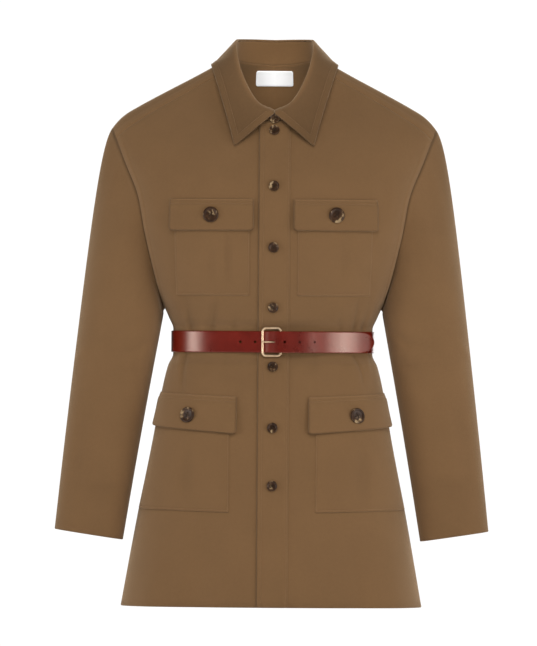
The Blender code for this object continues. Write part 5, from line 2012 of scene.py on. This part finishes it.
@dataclass(frozen=True)
class Effects:
    """Effects that several finishes share, each built once as a node group."""

    twill: NodeTree
    mottle: NodeTree
    RIB_SLANT = 0.62
    PICK_SLANT = 0.8
    PICK_PACE = 1.3
    PICK_SHARE = 0.35
    DETAIL = 4.0
    ROUGHNESS = 0.6

    @staticmethod
    def group(name: str, amount: str, results: Sequence[str]) -> tuple[NodeTree, Graph, Node, Node]:
        """Empty group with a vector, an amount and results.

        Args:
            name: the group's name.
            amount: name of its value input.
            results: names of its outputs.
        Returns:
            The group, its graph, and its input and output nodes.
        """
        tree = bpy.data.node_groups.new(name, "ShaderNodeTree")
        tree.interface.new_socket("Vector", in_out="INPUT", socket_type="NodeSocketVector")
        tree.interface.new_socket(amount, in_out="INPUT", socket_type="NodeSocketFloat")
        for result in results:
            tree.interface.new_socket(result, in_out="OUTPUT", socket_type="NodeSocketFloat")
        graph = Graph(tree)
        return tree, graph, graph.put("NodeGroupInput"), graph.put("NodeGroupOutput")

    @classmethod
    def make(cls) -> "Effects":
        """Build the groups.

        Returns:
            The effects.
        """
        twill, graph, source, result = cls.group("twill", "Pitch", ("Height", "Shade"))
        across, up, _ = graph.put("ShaderNodeSeparateXYZ", {0: source.outputs["Vector"]}).outputs
        turns = graph.math("DIVIDE", 2 * math.pi, source.outputs["Pitch"])
        ribs = graph.math("MULTIPLY", graph.scaled(up, cls.RIB_SLANT, across), turns)
        picks = graph.math("SUBTRACT", graph.math("MULTIPLY", across, cls.PICK_SLANT), up)
        picks = graph.math("MULTIPLY", picks, graph.math("MULTIPLY", turns, cls.PICK_PACE))
        crossed = graph.scaled(graph.math("SINE", picks), cls.PICK_SHARE, 1 - cls.PICK_SHARE)
        weave = graph.math("MULTIPLY", graph.math("SINE", ribs), crossed)
        graph.feed(result, {"Height": graph.scaled(weave, 0.5, 0.5), "Shade": weave})
        mottle, graph, source, result = cls.group("mottle", "Scale", ("Value",))
        inputs = {"Vector": source.outputs["Vector"], "Scale": source.outputs["Scale"]}
        inputs.update({"Detail": cls.DETAIL, "Roughness": cls.ROUGHNESS})
        noise = graph.put("ShaderNodeTexNoise", inputs).outputs[0]
        graph.feed(result, {"Value": graph.math("MULTIPLY", graph.math("SUBTRACT", noise, 0.5), 2.0)})
        return cls(twill, mottle)

    def use(self, graph: Graph, tree: NodeTree, vector: NodeSocket, amount: float) -> Node:
        """Add one of the groups to a graph, with its vector and its pitch or scale."""
        return graph.put("ShaderNodeGroup", {0: vector, 1: amount}, node_tree=tree)

    def patches(self, graph: Graph, vector: NodeSocket, scale: float) -> NodeSocket:
        """Mottle of a scale, swinging about 0."""
        return self.use(graph, self.mottle, vector, scale).outputs[0]


def new_material(name: str) -> tuple[Material, Graph, Node, NodeSocket]:
    """Start a material.

    Args:
        name: the material's name.
    Returns:
        The material, its graph, its shader and the place of each point.
    """
    material = bpy.data.materials.new(name)
    material.use_nodes = True
    graph = Graph(material.node_tree)
    space = graph.put("ShaderNodeTexCoord").outputs["Object"]
    return material, graph, material.node_tree.nodes["Principled BSDF"], space


def shaded(colour: Colour, factor: float) -> Colour:
    """The colour made lighter or darker."""
    return tuple(min(channel * factor, 1.0) for channel in colour)


@dataclass(frozen=True)
class WovenFinish:
    """Matt woven cloth or thread."""

    name: str
    colour: Colour
    pitch: float = 0.0011
    weave_shade: float = 0.1
    weave_depth: float = 0.00016
    weave_bump: float = 0.5
    mottle_shade: float = 0.1
    coarse: float = 16.0
    fine: float = 260.0
    fine_share: float = 0.8
    tone_shade: float = 0.16
    swing: float = 0.5
    roughness: float = 0.86
    sheen: float = 0.45
    sheen_tint: Colour = (0.8, 0.6, 0.4)
    specular: float = 0.15

    def material(self, effects: Effects, toned: bool = True) -> Material:
        """Material of the finish.

        Args:
            effects: shared node groups.
            toned: whether its pieces carry a weave map and a tone of painted light and shade.
        Returns:
            The material.
        """
        made, graph, shader, space = new_material(self.name)
        coarse, fine = (effects.patches(graph, space, scale) for scale in (self.coarse, self.fine))
        shade = graph.math("MULTIPLY", graph.scaled(fine, self.fine_share, coarse), self.mottle_shade)
        place = graph.put("ShaderNodeUVMap", uv_map="weave").outputs[0] if toned else space
        twill = effects.use(graph, effects.twill, place, self.pitch).outputs
        shade = graph.scaled(twill["Shade"], self.weave_shade, shade)
        if toned:
            # The tone attribute carries painted light and shade, and a darker band above the wrist of the
            # sleeves.
            tone = graph.put("ShaderNodeAttribute", attribute_name="tone").outputs["Fac"]
            shade = graph.scaled(tone, self.tone_shade, shade)
        low, high = (shaded(self.colour, 1 + self.swing * way) for way in (-1, 1))
        graph.feed(shader, {
            "Base Color": graph.swing(shade, low, high),
            "Normal": graph.bump(self.weave_bump, self.weave_depth, twill["Height"]),
            "Roughness": self.roughness,
            "Sheen Weight": self.sheen,
            "Sheen Tint": (*self.sheen_tint, 1.0),
            "Specular IOR Level": self.specular,
        })
        return made


@dataclass(frozen=True)
class LeatherFinish:
    """Glossy dyed leather with a fine grain."""

    name: str = "leather"
    dark: Colour = (0.088, 0.0024, 0.0006)
    light: Colour = (0.152, 0.0056, 0.0018)
    gloss: Colour = (1.0, 0.74, 0.6)
    patches: float = 34.0
    grain: float = 900.0
    grain_bump: float = 0.25
    grain_depth: float = 0.00006
    roughness: float = 0.29
    roughness_swing: float = 0.06
    specular: float = 0.75
    coat: float = 0.15
    coat_roughness: float = 0.24

    def material(self, effects: Effects) -> Material:
        """Material of the finish.

        Args:
            effects: shared node groups.
        Returns:
            The material.
        """
        made, graph, shader, space = new_material(self.name)
        patchy = effects.patches(graph, space, self.patches)
        cells = graph.put("ShaderNodeTexVoronoi", {"Vector": space, "Scale": self.grain})
        graph.feed(shader, {
            "Base Color": graph.swing(patchy, self.dark, self.light),
            "Roughness": graph.scaled(patchy, self.roughness_swing, self.roughness),
            "Normal": graph.bump(self.grain_bump, self.grain_depth, cells.outputs["Distance"]),
            "Specular IOR Level": self.specular,
            "Specular Tint": (*self.gloss, 1.0),
            "Coat Weight": self.coat,
            "Coat Roughness": self.coat_roughness,
        })
        return made


@dataclass(frozen=True)
class HornFinish:
    """Polished dark horn with paler streaks."""

    name: str = "horn"
    dark: Colour = (0.01, 0.005, 0.003)
    brown: Colour = (0.075, 0.034, 0.015)
    pale: Colour = (0.34, 0.235, 0.125)
    patches: float = 130.0
    flecks: float = 2.2
    fleck_share: float = 0.5
    stretch: Place = (1.0, 1.0, 0.55)
    lean: Place = (0.0, math.radians(35), 0.0)
    streak_from: float = 0.14
    streak_sharp: float = 5.0
    roughness: float = 0.4
    roughness_swing: float = 0.08
    specular: float = 0.25

    def material(self, effects: Effects) -> Material:
        """Material of the finish.

        Args:
            effects: shared node groups.
        Returns:
            The material.
        """
        made, graph, shader, space = new_material(self.name)
        inputs = {"Vector": space, "Scale": self.stretch, "Rotation": self.lean}
        space = graph.put("ShaderNodeMapping", inputs).outputs[0]
        broad = effects.patches(graph, space, self.patches)
        small = effects.patches(graph, space, self.patches * self.flecks)
        body = graph.swing(broad, self.dark, self.brown)
        fleck = graph.scaled(small, self.fleck_share, broad)
        streak = graph.math("MULTIPLY", graph.math("SUBTRACT", fleck, self.streak_from), self.streak_sharp)
        graph.feed(shader, {
            "Base Color": graph.mix(streak, body, self.pale),
            "Roughness": graph.scaled(small, self.roughness_swing, self.roughness),
            "Specular IOR Level": self.specular,
        })
        return made


@dataclass(frozen=True)
class BrassFinish:
    """Polished pale brass, faintly rubbed."""

    name: str = "brass"
    dull: Colour = (0.66, 0.45, 0.27)
    bright: Colour = (0.88, 0.66, 0.44)
    patches: float = 180.0
    roughness: float = 0.36
    roughness_swing: float = 0.08
    metallic: float = 0.6

    def material(self, effects: Effects) -> Material:
        """Material of the finish.

        Args:
            effects: shared node groups.
        Returns:
            The material.
        """
        made, graph, shader, space = new_material(self.name)
        rubbed = effects.patches(graph, space, self.patches)
        graph.feed(shader, {
            "Base Color": graph.swing(rubbed, self.dull, self.bright),
            "Roughness": graph.scaled(rubbed, self.roughness_swing, self.roughness),
            "Metallic": self.metallic,
        })
        return made


@dataclass(frozen=True)
class FloorFinish:
    """Pale plain floor."""

    name: str = "floor"
    dull: Colour = (0.84, 0.84, 0.83)
    pale: Colour = (0.88, 0.88, 0.87)
    patches: float = 3.0
    roughness: float = 0.9

    def material(self, effects: Effects) -> Material:
        """Material of the finish.

        Args:
            effects: shared node groups.
        Returns:
            The material.
        """
        made, graph, shader, space = new_material(self.name)
        colour = graph.swing(effects.patches(graph, space, self.patches), self.dull, self.pale)
        graph.feed(shader, {"Base Color": colour, "Roughness": self.roughness})
        return made


@dataclass
class Studio:
    """Pale floor, soft lights all round and the level camera of the photo."""

    floor: Material
    floor_height: float = -0.95
    floor_half: float = 4.4
    aim: Place = (-0.0064, 0.0, -0.379)
    distance: float = 20.0
    far: float = 100.0
    view_height: float = 0.924
    sensor: float = 36.0
    roll: float = math.radians(0.4)
    fill: float = 0.3
    glossy_fill: float = 0.1
    backdrop: float = 1.05
    lights: tuple[Softbox, ...] = (
        Softbox("left_light", (-1.5, -0.7, -0.4), (0.9, 0.4), 5.5),
        Softbox("left_core", (-1.48, -0.69, -0.4), (0.45, 0.4), 2.6),
        Softbox("right_light", (1.34, -1.04, -0.4), (1.0, 0.4), 6.0),
        Softbox("right_core", (1.23, -1.1, -0.4), (0.5, 0.4), 3.6),
        Softbox("right_side", (1.6, -0.25, -0.4), (0.7, 0.4), 1.6),
        Softbox("front_light", (0.0, -3.0, 1.8), (2.2, 2.2), 67.0, False),
        Softbox("back_light", (0.0, 3.0, 1.8), (2.2, 2.2), 60.0, False),
        Softbox("belt_back_light", (0.9, 1.5, -0.4), (1.1, 0.4), 4.0),
    )
    neck_power: float = 350.0
    neck_cone: float = math.radians(2.6)
    neck_blend: float = 0.7
    neck_soft: float = 0.05
    neck_from: Place = (0.0, -3.0, 0.12)
    neck_at: Place = (0.0, 0.08, -0.022)

    def build(self) -> None:
        """Set the floor, the world, the lights and the camera."""
        scene = bpy.context.scene
        scene.view_settings.view_transform = "Standard"
        self.build_floor()
        self.build_world()
        for box in self.lights:
            self.softbox(box)
        self.neck_light()
        camera = bpy.data.cameras.new("camera")
        camera.sensor_width = self.sensor
        camera.lens = self.sensor * self.distance / self.view_height
        camera.clip_end = self.far
        holder = bpy.data.objects.new("camera", camera)
        place = Vector(self.aim) - Vector((0.0, self.distance, 0.0))
        turn = Matrix.Rotation(math.pi / 2, 4, "X") @ Matrix.Rotation(self.roll, 4, "Z")
        holder.matrix_world = Matrix.Translation(place) @ turn
        scene.collection.objects.link(holder)
        scene.camera = holder

    def build_floor(self) -> None:
        """Pale plain floor under the coat."""
        mesh = bpy.data.meshes.new("floor")
        half = self.floor_half
        corners = ((-half, -half), (half, -half), (half, half), (-half, half))
        mesh.from_pydata([(x, y, self.floor_height) for x, y in corners], [], [(0, 1, 2, 3)])
        add_object("floor", mesh, self.floor)

    def build_world(self) -> None:
        """White backdrop for the camera and even fill light for the coat."""
        world = bpy.context.scene.world = bpy.data.worlds.new("studio")
        world.use_nodes = True
        graph = Graph(world.node_tree)
        path = graph.put("ShaderNodeLightPath").outputs
        shown = graph.math("MULTIPLY", path["Is Camera Ray"], self.backdrop - self.fill)
        level = graph.scaled(path["Is Glossy Ray"], self.glossy_fill - self.fill, shown)
        level = graph.math("ADD", level, self.fill)
        graph.feed(world.node_tree.nodes["Background"], {"Color": (*WHITE, 1.0), "Strength": level})

    def neck_light(self) -> None:
        """Soft spot on the inside of the neck, from the side of the camera."""
        light = bpy.data.lights.new("neck_light", "SPOT")
        light.energy = self.neck_power
        light.spot_size = self.neck_cone
        light.spot_blend = self.neck_blend
        light.shadow_soft_size = self.neck_soft
        self.aim_light(light, self.neck_from, self.neck_at, False)

    def softbox(self, box: Softbox) -> None:
        """Rectangular light turned to the coat.

        Args:
            box: its place, size and power.
        """
        light = bpy.data.lights.new(box.name, "AREA")
        light.shape = "RECTANGLE"
        light.size, light.size_y = box.size
        light.energy = box.power
        self.aim_light(light, box.place, self.aim, box.mirrors)

    def aim_light(self, light: Light, place: Place, target: Place, mirrors: bool) -> None:
        """Set a light in place.

        Args:
            light: the light.
            place: where it stands.
            target: where it shines.
            mirrors: whether glossy things show it.
        """
        holder = bpy.data.objects.new(light.name, light)
        holder.location = place
        holder.rotation_mode = "QUATERNION"
        holder.visible_glossy = mirrors
        holder.rotation_quaternion = (Vector(target) - Vector(place)).to_track_quat("-Z", "Y")
        bpy.context.scene.collection.objects.link(holder)


def main() -> None:
    """Build the coat's pieces in order and set the studio."""
    logging.basicConfig(level=logging.INFO, format="%(message)s")
    effects = Effects.make()
    cloth = WovenFinish("cloth", (0.16, 0.086, 0.0368)).material(effects)
    thread = WovenFinish("thread", (0.21, 0.117, 0.058), pitch=0.0006).material(effects, toned=False)
    label = WovenFinish("label", (0.96, 0.96, 0.955), pitch=0.0008, swing=0.05, sheen=0.1, sheen_tint=WHITE)
    dark_thread = WovenFinish("button_thread", (0.03, 0.018, 0.011), pitch=0.0006, sheen=0.05)
    form = BodyForm()
    Panels(form, cloth, thread).build()
    Sleeves(form, cloth).build()
    Collar(form, cloth, thread, label.material(effects)).build()
    seats = Pockets(form, cloth, thread).build()
    horn = HornFinish().material(effects)
    Buttons(form, horn, dark_thread.material(effects, toned=False)).build(seats)
    Belt(form, LeatherFinish().material(effects), BrassFinish().material(effects)).build()
    Studio(FloorFinish().material(effects)).build()


if __name__ == "__main__":
    main()
